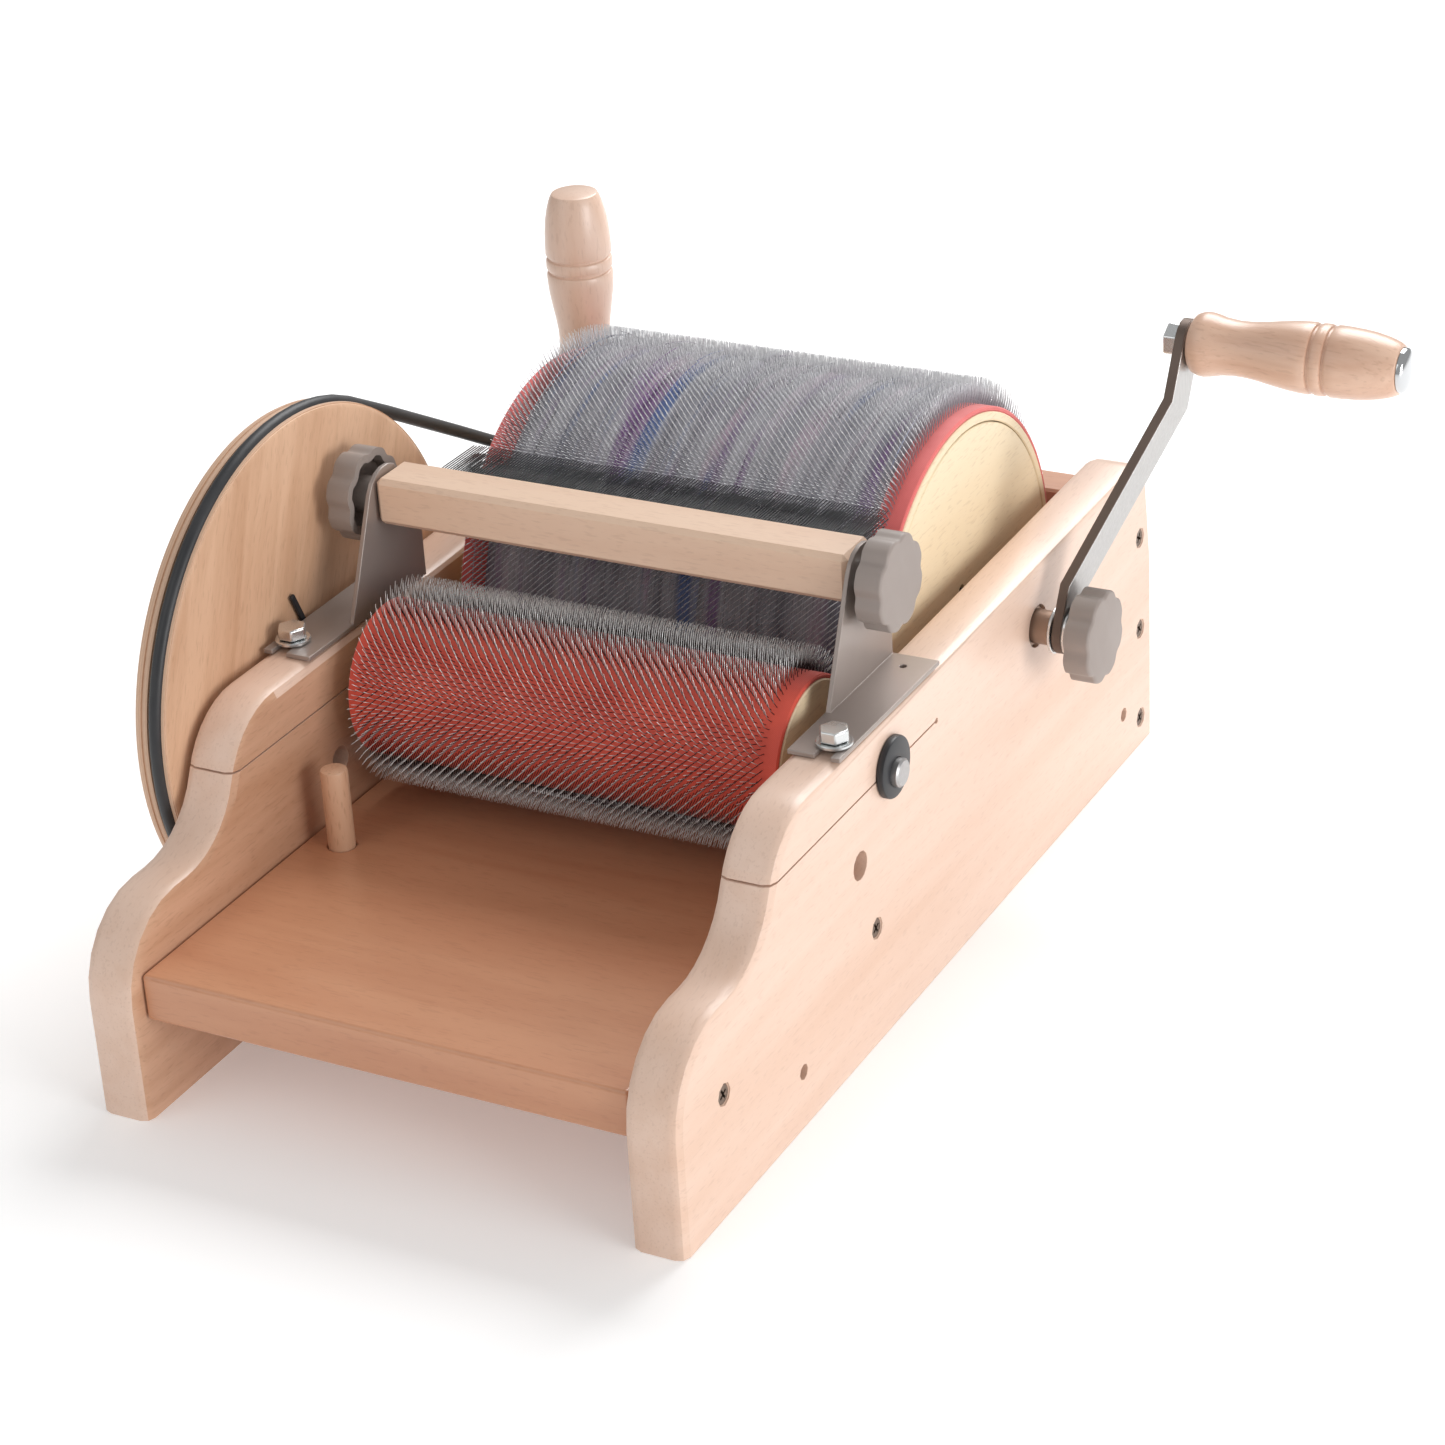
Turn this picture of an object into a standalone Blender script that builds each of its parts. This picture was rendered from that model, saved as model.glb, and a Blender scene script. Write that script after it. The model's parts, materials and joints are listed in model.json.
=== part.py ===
"""Hand-cranked drum carder for wool, built from wood panels, two toothed drums, a belt drive and a brush.

The machine frame has X = 0 midway between the side panels, Y = 0 at the front of the panels and
Z = 0 on the table. An empty moves the whole machine so that the world origin lies at the centre of
its bounding box, on the table. Lengths are in metres and angles in degrees.
"""
from math import asin, atan2, ceil, cos, degrees, hypot, pi, radians, sin

import bmesh
import bpy
from mathutils import Vector

# ---- shared clearances and smoothness ---------------------------------------------------------
GAP = 0.0003
TINY = 1e-6
CUT_MARGIN = 0.002
ARC_STEP = 15.0
SHARP_ANGLE = 35.0

# ---- wooden frame -------------------------------------------------------------------------------
INNER_WIDTH = 0.220
PANEL_THICKNESS = 0.0233
PANEL_LENGTH = 0.4615
PANEL_HEIGHT = 0.139
PANEL_REAR_HEIGHT = 0.143
SHOULDER_HEIGHT = 0.090
SHOULDER_RADIUS = 0.038
RISE_LENGTH = 0.072
REAR_CORNER_RADIUS = 0.021
ROUNDOVER = 0.0045
BOARD_THICKNESS = 0.0205
BOARD_CHAMFER = 0.0012
BOARD_TOP = 0.0648
BOARD_FRONT = 0.0074
REAR_BOARD_HEIGHT = 0.126
PEG_RADIUS = 0.0058
PEG_HEIGHT = 0.036
PEG_EMBEDMENT = 0.012
PEG_INSET = 0.017
PEG_CHAMFER = 0.001
PEG_HOLE_RADIUS = 0.0062
PEG_HOLE_Z = 0.0874
SMALL_HOLE_RADIUS = 0.0034
SMALL_HOLE_Z = 0.0245
SMALL_HOLE_SETBACK = 0.1014
SMALL_HOLE_REAR_SETBACK = 0.0319
SCREW_HEAD_RADIUS = 0.0042
SCREW_SHANK_RADIUS = 0.0019
SCREW_LENGTH = 0.042
SCREW_POINT = 0.004
SCREW_HEAD_DEPTH = 0.0028
SCREW_SINK = 0.0006
BASE_SCREW_SETBACK = 0.030
BASE_SCREW_DROP = 0.0024
REAR_SCREW_SHIFT = 0.0012
REAR_SCREW_LOW = 0.0135
REAR_SCREW_TOP_MARGIN = 0.0215

# ---- drums ---------------------------------------------------------------------------------------
DRUM_SIDE_GAP = 0.0095
CLOTH_SETBACK = 0.0005
TIP_TAPER = 0.003
NIP_GAP = 0.00223
SWIFT_SHELL_RADIUS = 0.0878
SWIFT_SHELL_WALL = 0.004
SWIFT_FOUNDATION = 0.0022
SWIFT_TOOTH = 0.0115
SWIFT_ROWS = 48
SWIFT_END_THICKNESS = 0.012
SWIFT_REAR_GAP = 0.0053
SWIFT_AXLE_DROP = 0.0264
SWIFT_AXLE_RADIUS = 0.0065
SWIFT_BUSH_WALL = 0.0026
SWIFT_BUSH_RECESS = 0.0015
INDEX_HOLE_RADIUS = 0.0025
INDEX_HOLE_DEPTH = 0.008
INDEX_HOLE_OFFSET = 0.015
INDEX_HOLE_ANGLE = 112.0
LICKER_CORE_RADIUS = 0.0315
LICKER_FOUNDATION = 0.002
LICKER_TOOTH = 0.0105
LICKER_ROWS = 20
LICKER_AXLE_DROP = 0.0234
LICKER_AXLE_RADIUS = 0.006
LICKER_AXLE_STAND_OUT = 0.003

# ---- eccentric bushes that carry the small drum -------------------------------------------------
ECCENTRICITY = 0.002
BUSH_WALL = 0.002
BUSH_FLANGE_WIDTH = 0.003
BUSH_FLANGE_RIGHT = 0.003
BUSH_FLANGE_LEFT = 0.0016
BUSH_RECESS = 0.001
LEVER_LENGTH = 0.040
LEVER_WIDTH = 0.0026
LEVER_ANGLE = 25.0
KERF_WIDTH = 0.0008
KERF_DROP = 0.0012
KERF_BEHIND = 0.0445
KERF_END_RADIUS = 0.0014

# ---- places along the panels, measured from the small drum's axle --------------------------------
REAR_RISE_BEHIND = 0.0635
RISE_END_AHEAD = 0.0685
BOARD_REAR_BEHIND = 0.0135
PEG_AHEAD = 0.0585
PEG_HOLE_AHEAD = 0.0291
BRACKET_FRONT_AHEAD = 0.0425
BRACKET_BOLT_AHEAD = 0.0315
BRACKET_PLATE_AHEAD = 0.0095
BRACKET_REAR_BEHIND = 0.0495
BRUSH_BEHIND = 0.0262
BRUSH_RISE = 0.0462

# ---- belt drive ----------------------------------------------------------------------------------
DRIVE_RATIO = 4.0
WHEEL_GAP = 0.0027
WHEEL_THICKNESS = 0.0165
WHEEL_PULLEY_GAP = 0.00836
WHEEL_LIP = 0.0003
WHEEL_EDGE = 0.003
WHEEL_EDGE_CROWN = 0.3
BELT_RADIUS = 0.0032
GROOVE_CLEARANCE = 0.0006
GROOVE_SHOULDER = 0.0016
PULLEY_SHOULDER = 0.0014
PULLEY_LIP = 0.0004
PULLEY_HUB_WALL = 0.0035
IDLER_BELT_LINE = 0.020
IDLER_BEHIND = 0.0518
BELT_RUN_SLOPE = 29.6
IDLER_STUD_RADIUS = 0.004
IDLER_STUD_DEPTH = 0.012
IDLER_HEAD_RADIUS = 0.0065
IDLER_HEAD_HEIGHT = 0.004
WHEEL_NUT_RADIUS = 0.011
WHEEL_NUT_THICKNESS = 0.006
LICKER_AXLE_TAIL = 0.0025
SWIFT_AXLE_TAIL = 0.002

# ---- packer brush --------------------------------------------------------------------------------
BRACKET_SHEET = 0.002
BRACKET_WIDTH = 0.0228
BRACKET_SLOT_RADIUS = 0.0035
BRACKET_BOLT_OFFSET = 0.0155
BRACKET_PIN_HOLE_SETBACK = 0.010
BRACKET_PIN_HOLE_INSET = 0.004
BRACKET_PIN_HOLE_RADIUS = 0.0016
BRACKET_HEAD_RADIUS = 0.0145
BRACKET_CHIN = 0.012
BAR_FRONT = 0.0102
BAR_REAR = 0.0128
BAR_BELOW = 0.0084
BAR_ABOVE = 0.0123
BAR_CHAMFER = 0.0022
CHANNEL_DEPTH = 0.0055
CHANNEL_BELOW = 0.006
CHANNEL_ABOVE = 0.0075
BRISTLE_THICKNESS = 0.0095
BRISTLE_BELOW = 0.0042
BOLT_HEAD_RADIUS = 0.0064
BOLT_HEAD_HEIGHT = 0.005
BOLT_SHANK_RADIUS = 0.003
BOLT_LENGTH = 0.042
BOLT_WASHER_RADIUS = 0.0075
WASHER_THICKNESS = 0.0015

# ---- fluted knobs --------------------------------------------------------------------------------
KNOB_RADIUS = 0.0205
KNOB_FLUTE = 0.0014
KNOB_LOBES = 8
KNOB_LOBE_POINTS = 4
KNOB_THICKNESS = 0.0115
KNOB_ROUNDOVER = 0.0012
KNOB_WALL = 0.0035
KNOB_FACE = 0.004
KNOB_BOSS_RADIUS = 0.008
KNOB_BOSS_HEIGHT = 0.003
KNOB_BOSS_STEP = 0.0002
STUD_RADIUS = 0.003
STUD_IN_BAR = 0.018
STUD_IN_KNOB = 0.011

# ---- crank ---------------------------------------------------------------------------------------
CRANK_ANGLE = 30.2
CRANK_LENGTH = 0.1289
CRANK_OFFSET = 0.030
CRANK_THICKNESS = 0.0045
CRANK_WIDTH = 0.020
CRANK_END_ROUNDING = 0.98
CRANK_HUB_FLAT = 0.018
CRANK_END_FLAT = 0.027
CRANK_STAND_OFF = 0.008
CRANK_SPACER_WALL = 0.001
CRANK_WASHER_RADIUS = 0.0105
CRANK_STUD_RADIUS = 0.004

# ---- turned grip, used on the crank and on the awl ------------------------------------------------
GRIP_LENGTH = 0.0915
GRIP_RADIUS = 0.0152
GRIP_GROOVES = (0.0365, 0.030)
GRIP_GROOVE_DEPTH = 0.0014
GRIP_GROOVE_REACH = 0.002
GRIP_NECK = ((0.0, 0.0095), (0.002, 0.0128), (0.007, 0.0137), (0.012, 0.0128), (0.020, 0.0117),
             (0.030, 0.0122), (0.042, 0.0143))
GRIP_NOSE = ((0.018, 0.0149), (0.006, 0.0126), (0.001, 0.0109), (0.0, 0.0098))
GRIP_BOLT_RADIUS = 0.003
GRIP_BOLT_TAIL = 0.001
GRIP_CAP = ((0.0, 0.0095), (0.0015, 0.0095), (0.0034, 0.006), (0.0042, 0.0))
GRIP_NUT_RADIUS = 0.0075
GRIP_NUT_THICKNESS = 0.006

# ---- doffer awl ----------------------------------------------------------------------------------
AWL_BEHIND_IDLER = 0.016
AWL_NECK = 0.0223
AWL_ROD_RADIUS = 0.0025
AWL_ROD_EMBEDMENT = 0.045
AWL_ROD_IN_HANDLE = 0.040
AWL_POINT = 0.008

# ---- worked-out places ---------------------------------------------------------------------------
HALF_INNER = INNER_WIDTH / 2
HALF_OUTER = HALF_INNER + PANEL_THICKNESS
REACH = HALF_INNER - GAP
HALF_DRUM = HALF_INNER - DRUM_SIDE_GAP
HALF_CLOTH = HALF_DRUM - CLOTH_SETBACK
SWIFT_CLOTH_RADIUS = SWIFT_SHELL_RADIUS + SWIFT_FOUNDATION
SWIFT_TIP_RADIUS = SWIFT_CLOTH_RADIUS + SWIFT_TOOTH
LICKER_CLOTH_RADIUS = LICKER_CORE_RADIUS + LICKER_FOUNDATION
LICKER_TIP_RADIUS = LICKER_CLOTH_RADIUS + LICKER_TOOTH
DRUM_CENTRES = SWIFT_TIP_RADIUS + LICKER_TIP_RADIUS + NIP_GAP
SWIFT_Z = PANEL_HEIGHT - SWIFT_AXLE_DROP
SWIFT_Y = PANEL_LENGTH - BOARD_THICKNESS - SWIFT_REAR_GAP - SWIFT_TIP_RADIUS
LICKER_Z = PANEL_HEIGHT - LICKER_AXLE_DROP
LICKER_Y = SWIFT_Y - (DRUM_CENTRES ** 2 - (LICKER_Z - SWIFT_Z) ** 2) ** 0.5
BUSH_Z = LICKER_Z + ECCENTRICITY
BUSH_RADIUS = LICKER_AXLE_RADIUS + ECCENTRICITY + BUSH_WALL
BUSH_FLANGE_RADIUS = BUSH_RADIUS + BUSH_FLANGE_WIDTH
BUSH_INNER_X = HALF_INNER + BUSH_RECESS
SWIFT_BUSH_RADIUS = SWIFT_AXLE_RADIUS + SWIFT_BUSH_WALL
BOARD_REAR = LICKER_Y + BOARD_REAR_BEHIND
PEG_X = -HALF_INNER + PEG_INSET
PEG_Y = LICKER_Y - PEG_AHEAD
KERF_Z = BUSH_Z - KERF_DROP
KERF_END_Y = LICKER_Y + KERF_BEHIND

BELT_LINE = (DRUM_CENTRES - WHEEL_PULLEY_GAP) / (1 + 1 / DRIVE_RATIO)
WHEEL_RADIUS = BELT_LINE - WHEEL_LIP
WHEEL_INNER_X = -HALF_OUTER - WHEEL_GAP
WHEEL_OUTER_X = WHEEL_INNER_X - WHEEL_THICKNESS
BELT_X = WHEEL_INNER_X - BELT_RADIUS - GROOVE_CLEARANCE - GROOVE_SHOULDER
PULLEY_HALF_THICKNESS = BELT_RADIUS + GROOVE_CLEARANCE + PULLEY_SHOULDER
SWIFT_BELT_LINE = BELT_LINE / DRIVE_RATIO
RUN_NORMAL = Vector((sin(radians(BELT_RUN_SLOPE)), cos(radians(BELT_RUN_SLOPE))))
IDLER_Y = SWIFT_Y + IDLER_BEHIND
IDLER_Z = LICKER_Z + (BELT_LINE - IDLER_BELT_LINE - RUN_NORMAL.x * (IDLER_Y - LICKER_Y)) / RUN_NORMAL.y
LICKER_AXLE_LEFT = WHEEL_OUTER_X - GAP - WHEEL_NUT_THICKNESS - LICKER_AXLE_TAIL
LICKER_AXLE_RIGHT = HALF_OUTER + GAP + BUSH_FLANGE_RIGHT + LICKER_AXLE_STAND_OUT

BRACKET_X = HALF_INNER + GAP
BRACKET_Z = PANEL_HEIGHT + GAP
BRACKET_FRONT = LICKER_Y - BRACKET_FRONT_AHEAD
BRACKET_REAR = LICKER_Y + BRACKET_REAR_BEHIND
BRACKET_PLATE_FRONT = LICKER_Y - BRACKET_PLATE_AHEAD
BRACKET_BOLT_X = HALF_INNER + BRACKET_BOLT_OFFSET
BRACKET_BOLT_Y = LICKER_Y - BRACKET_BOLT_AHEAD
BRUSH_Y = LICKER_Y + BRUSH_BEHIND
BRUSH_Z = PANEL_HEIGHT + BRUSH_RISE
BRUSH_WASHER_X = BRACKET_X + BRACKET_SHEET + GAP
BRUSH_KNOB_X = BRUSH_WASHER_X + WASHER_THICKNESS + GAP

CRANK_SHOULDER_X = HALF_OUTER + CRANK_STAND_OFF
CRANK_HUB_X = CRANK_SHOULDER_X + WASHER_THICKNESS + 2 * GAP
CRANK_LOCK_X = CRANK_HUB_X + CRANK_THICKNESS + GAP
CRANK_KNOB_X = CRANK_LOCK_X + WASHER_THICKNESS + GAP
GRIP_Y = SWIFT_Y + CRANK_LENGTH * sin(radians(CRANK_ANGLE))
GRIP_Z = SWIFT_Z + CRANK_LENGTH * cos(radians(CRANK_ANGLE))
GRIP_ARM_X = CRANK_HUB_X + CRANK_OFFSET
GRIP_X = GRIP_ARM_X + CRANK_THICKNESS + GAP
GRIP_CAP_X = GRIP_X + GRIP_LENGTH + GAP
AWL_X = -HALF_INNER - PANEL_THICKNESS / 2
AWL_Y = IDLER_Y + AWL_BEHIND_IDLER

ORIGIN_X = -(LICKER_AXLE_LEFT + GRIP_CAP_X + GRIP_CAP[-1][0]) / 2
ORIGIN_Y = -PANEL_LENGTH / 2


# ---- small helpers -------------------------------------------------------------------------------
def bore_radius(shaft_radius, sides, gap=GAP):
    """Corner radius of a faceted bore whose flats clear a shaft of the given radius."""
    return (shaft_radius + gap) / cos(pi / sides)


def arc_points(centre, radius, start, end, step=ARC_STEP):
    """Points on an arc in the Y-Z plane, from the start angle to the end angle in degrees."""
    count = max(2, ceil(abs(end - start) / step))
    angles = [radians(start + (end - start) * i / count) for i in range(count + 1)]
    return [(centre[0] + radius * cos(a), centre[1] + radius * sin(a)) for a in angles]


def clean_outline(points):
    """Drop points that repeat the one before them."""
    kept = []
    for point in points:
        if not kept or hypot(point[0] - kept[-1][0], point[1] - kept[-1][1]) > TINY:
            kept.append(point)
    if hypot(kept[0][0] - kept[-1][0], kept[0][1] - kept[-1][1]) < TINY:
        kept.pop()
    return kept


def make_material(name, colour, roughness, metallic=0.0):
    material = bpy.data.materials.new(name)
    material.use_nodes = True
    shader = material.node_tree.nodes["Principled BSDF"]
    shader.inputs["Base Color"].default_value = (*colour, 1.0)
    shader.inputs["Roughness"].default_value = roughness
    shader.inputs["Metallic"].default_value = metallic
    return material


def finish_mesh(bm, name, smooth=True):
    bmesh.ops.remove_doubles(bm, verts=bm.verts, dist=TINY)
    bmesh.ops.recalc_face_normals(bm, faces=bm.faces)
    mesh = bpy.data.meshes.new(name)
    bm.to_mesh(mesh)
    bm.free()
    if smooth:
        mesh.shade_smooth()
        mesh.set_sharp_from_angle(angle=radians(SHARP_ANGLE))
    return mesh


def place(name, mesh, material, location=(0.0, 0.0, 0.0), rotation=(0.0, 0.0, 0.0)):
    obj = bpy.data.objects.new(name, mesh)
    bpy.context.scene.collection.objects.link(obj)
    obj.location = location
    obj.rotation_euler = [radians(a) for a in rotation]
    obj.parent = bpy.data.objects["machine_origin"]
    if material is not None:
        mesh.materials.append(MATERIALS[material])
    return obj


def lathe_mesh(name, profile, sides, closed=False):
    """Turn a profile of (x, radius) points about the X axis; a closed profile makes a ring."""
    bm = bmesh.new()
    verts = [bm.verts.new((x, 0.0, r)) for x, r in profile]
    edges = [bm.edges.new(pair) for pair in zip(verts, verts[1:])]
    if closed:
        edges.append(bm.edges.new((verts[-1], verts[0])))
    bmesh.ops.spin(bm, geom=verts + edges, axis=(1, 0, 0), cent=(0, 0, 0), angle=2 * pi,
                   steps=sides, use_merge=True)
    return finish_mesh(bm, name)


def prism_mesh(name, outline, x0, x1, round_edges=None, radius=0.0, segments=2):
    """Extrude a Y-Z outline along X; round_edges picks the rim edges that get a roundover."""
    bm = bmesh.new()
    face = bm.faces.new([bm.verts.new((x0, y, z)) for y, z in clean_outline(outline)])
    extruded = bmesh.ops.extrude_face_region(bm, geom=[face])
    moved = [item for item in extruded["geom"] if isinstance(item, bmesh.types.BMVert)]
    bmesh.ops.translate(bm, verts=moved, vec=(x1 - x0, 0, 0))
    if round_edges is not None:
        rims = [e for e in bm.edges if e.verts[0].co.x == e.verts[1].co.x and round_edges(e)]
        bmesh.ops.bevel(bm, geom=rims, offset=radius, segments=segments, profile=0.5, affect="EDGES")
    return finish_mesh(bm, name)


def cut(target, mesh, location=(0.0, 0.0, 0.0), rotation=(0.0, 0.0, 0.0), operation="DIFFERENCE"):
    """Cut a mesh from an object, or join it on, with an exact Boolean modifier."""
    cutter = place(f"{target.name}_cutter", mesh, None, location, rotation)
    cutter.hide_render = True
    cutter.display_type = "WIRE"
    modifier = target.modifiers.new(cutter.name, "BOOLEAN")
    modifier.operation = operation
    modifier.solver = "EXACT"
    modifier.object = cutter
    return cutter


def rod_mesh(name, x0, x1, radius, sides):
    return lathe_mesh(name, [(x0, 0.0), (x0, radius), (x1, radius), (x1, 0.0)], sides)


def ring_mesh(name, x0, x1, inner, outer, sides):
    return lathe_mesh(name, [(x0, inner), (x0, outer), (x1, outer), (x1, inner)], sides, closed=True)


def hex_mesh(name, x0, x1, radius, bore=0.0):
    if bore > 0.0:
        return ring_mesh(name, x0, x1, bore, radius, 6)
    return rod_mesh(name, x0, x1, radius, 6)


def box_mesh(name, low, high, bevel=0.0):
    bm = bmesh.new()
    bmesh.ops.create_cube(bm, size=1.0)
    low, high = Vector(low), Vector(high)
    bmesh.ops.scale(bm, vec=high - low, verts=bm.verts)
    bmesh.ops.translate(bm, vec=(low + high) / 2, verts=bm.verts)
    if bevel > 0.0:
        bmesh.ops.bevel(bm, geom=bm.edges[:], offset=bevel, segments=1, affect="EDGES")
    return finish_mesh(bm, name, smooth=False)


# ---- wooden frame --------------------------------------------------------------------------------
def top_height(y):
    """Height of a panel's top edge, which climbs gently behind the brush bracket."""
    start, end = LICKER_Y + REAR_RISE_BEHIND, PANEL_LENGTH - REAR_CORNER_RADIUS
    share = min(1.0, max(0.0, (y - start) / (end - start)))
    return PANEL_HEIGHT + share * (PANEL_REAR_HEIGHT - PANEL_HEIGHT)


def panel_outline():
    """Side view of a panel: low rounded front, S-shaped rise, long top and a rounded rear corner."""
    rise = PANEL_HEIGHT - SHOULDER_HEIGHT
    turn = 2 * degrees(atan2(rise, RISE_LENGTH))
    radius = RISE_LENGTH / (2 * sin(radians(turn)))
    rise_end = LICKER_Y - RISE_END_AHEAD
    rear = PANEL_LENGTH - REAR_CORNER_RADIUS
    points = [(0.0, 0.0)]
    points += arc_points((SHOULDER_RADIUS, SHOULDER_HEIGHT - SHOULDER_RADIUS), SHOULDER_RADIUS, 180, 90)
    points += arc_points((rise_end - RISE_LENGTH, SHOULDER_HEIGHT + radius), radius, -90, -90 + turn, 11)
    points += arc_points((rise_end, PANEL_HEIGHT - radius), radius, 90 + turn, 90, 11)
    points += [(LICKER_Y + REAR_RISE_BEHIND, PANEL_HEIGHT)]
    points += arc_points((rear, PANEL_REAR_HEIGHT - REAR_CORNER_RADIUS), REAR_CORNER_RADIUS, 90, 0)
    points += [(PANEL_LENGTH, 0.0)]
    return points


def is_rounded_rim(edge):
    """True for the front and top edges of a panel, false for its foot and its rear edge."""
    (y0, z0), (y1, z1) = [(v.co.y, v.co.z) for v in edge.verts]
    on_foot = max(z0, z1) < TINY
    on_rear = min(y0, y1) > PANEL_LENGTH - TINY
    return not (on_foot or on_rear)


def screw_profile():
    """Countersunk wood screw along X: the head's face is at 0 and the point at -SCREW_LENGTH."""
    return [(-SCREW_LENGTH, 0.0), (-SCREW_LENGTH + SCREW_POINT, SCREW_SHANK_RADIUS),
            (-SCREW_HEAD_DEPTH, SCREW_SHANK_RADIUS), (0.0, SCREW_HEAD_RADIUS), (0.0, 0.0)]


def base_screw_places():
    z = BOARD_TOP - BOARD_THICKNESS / 2 - BASE_SCREW_DROP
    return {"front": (BOARD_FRONT + BASE_SCREW_SETBACK, z), "rear": (BOARD_REAR - BASE_SCREW_SETBACK, z)}


def rear_screw_places():
    y = PANEL_LENGTH - BOARD_THICKNESS / 2 - REAR_SCREW_SHIFT
    high = REAR_BOARD_HEIGHT - REAR_SCREW_TOP_MARGIN
    return {"low": (y, REAR_SCREW_LOW), "middle": (y, (REAR_SCREW_LOW + high) / 2), "high": (y, high)}


def cut_screw_hole(target, side, y, z):
    """Countersunk clearance hole for one screw, driven in from the outside of a side panel."""
    shank = bore_radius(SCREW_SHANK_RADIUS, 8)
    head = bore_radius(SCREW_HEAD_RADIUS, 8)
    end = -SCREW_LENGTH - 2 * GAP
    outline = [(end, 0.0), (end, shank), (-SCREW_HEAD_DEPTH - GAP, shank), (0.0, head), (CUT_MARGIN, head),
               (CUT_MARGIN, 0.0)]
    mesh = lathe_mesh("screw_hole", outline, 8)
    cut(target, mesh, (side * (HALF_OUTER - SCREW_SINK), y, z), (0, 0, 0 if side > 0 else 180))


def build_side_panel(name, side):
    x0, x1 = sorted((side * HALF_INNER, side * HALF_OUTER))
    mesh = prism_mesh(name, panel_outline(), x0, x1, is_rounded_rim, ROUNDOVER)
    panel = place(name, mesh, "beech")
    low, high = x0 - CUT_MARGIN, x1 + CUT_MARGIN
    through = {
        (LICKER_Y, BUSH_Z): (bore_radius(BUSH_RADIUS, 24), 24),
        (SWIFT_Y, SWIFT_Z): (bore_radius(SWIFT_BUSH_RADIUS, 20), 20),
        (LICKER_Y - PEG_HOLE_AHEAD, PEG_HOLE_Z): (PEG_HOLE_RADIUS, 12),
        (SMALL_HOLE_SETBACK, SMALL_HOLE_Z): (SMALL_HOLE_RADIUS, 8),
        (PANEL_LENGTH - SMALL_HOLE_REAR_SETBACK, SMALL_HOLE_Z): (SMALL_HOLE_RADIUS, 8),
        (KERF_END_Y, KERF_Z): (KERF_END_RADIUS, 6),
    }
    for (y, z), (radius, sides) in through.items():
        cut(panel, rod_mesh("bore", low, high, radius, sides), (0, y, z))
    kerf = box_mesh("kerf", (low, SHOULDER_RADIUS, KERF_Z - KERF_WIDTH / 2),
                    (high, KERF_END_Y, KERF_Z + KERF_WIDTH / 2))
    cut(panel, kerf)
    for y, z in [*base_screw_places().values(), *rear_screw_places().values()]:
        cut_screw_hole(panel, side, y, z)
    depth = BOLT_LENGTH + GAP
    bolt_hole = rod_mesh("bolt_hole", -depth, CUT_MARGIN, bore_radius(BOLT_SHANK_RADIUS, 10), 10)
    cut(panel, bolt_hole, (side * BRACKET_BOLT_X, BRACKET_BOLT_Y, PANEL_HEIGHT), (0, -90, 0))
    return panel


def build_frame():
    build_side_panel("side_panel_right", 1)
    left = build_side_panel("side_panel_left", -1)
    awl_hole = rod_mesh("awl_hole", -AWL_ROD_EMBEDMENT - GAP, CUT_MARGIN, bore_radius(AWL_ROD_RADIUS, 8), 8)
    cut(left, awl_hole, (AWL_X, AWL_Y, top_height(AWL_Y)), (0, -90, 0))
    stud_bore = bore_radius(IDLER_STUD_RADIUS, 10)
    stud_hole = rod_mesh("stud_hole", -CUT_MARGIN, IDLER_STUD_DEPTH + GAP, stud_bore, 10)
    cut(left, stud_hole, (-HALF_OUTER, IDLER_Y, IDLER_Z))

    base_mesh = box_mesh("base_board", (-REACH, BOARD_FRONT, BOARD_TOP - BOARD_THICKNESS),
                         (REACH, BOARD_REAR, BOARD_TOP), BOARD_CHAMFER)
    base = place("base_board", base_mesh, "tray_wood")
    rear_mesh = box_mesh("rear_board", (-REACH, PANEL_LENGTH - BOARD_THICKNESS, 0),
                         (REACH, PANEL_LENGTH, REAR_BOARD_HEIGHT), BOARD_CHAMFER)
    rear = place("rear_board", rear_mesh, "tray_wood")
    peg_hole = rod_mesh("peg_hole", -PEG_EMBEDMENT - GAP, CUT_MARGIN, bore_radius(PEG_RADIUS, 12), 12)
    cut(base, peg_hole, (PEG_X, PEG_Y, BOARD_TOP), (0, -90, 0))
    peg = [(-PEG_EMBEDMENT, 0), (-PEG_EMBEDMENT, PEG_RADIUS), (PEG_HEIGHT - PEG_CHAMFER, PEG_RADIUS),
           (PEG_HEIGHT, PEG_RADIUS - PEG_CHAMFER), (PEG_HEIGHT, 0)]
    place("tray_peg", lathe_mesh("tray_peg", peg, 12), "tray_wood", (PEG_X, PEG_Y, BOARD_TOP), (0, -90, 0))

    screw = lathe_mesh("screw", screw_profile(), 8)
    screw.materials.append(MATERIALS["dark_steel"])
    boards = ((base, "base", base_screw_places()), (rear, "rear", rear_screw_places()))
    for side, side_name in ((-1, "left"), (1, "right")):
        for board, board_name, places in boards:
            for row, (y, z) in places.items():
                cut_screw_hole(board, side, y, z)
                place(f"{board_name}_screw_{side_name}_{row}", screw, None,
                      (side * (HALF_OUTER - SCREW_SINK), y, z), (0, 0, 0 if side > 0 else 180))


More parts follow.
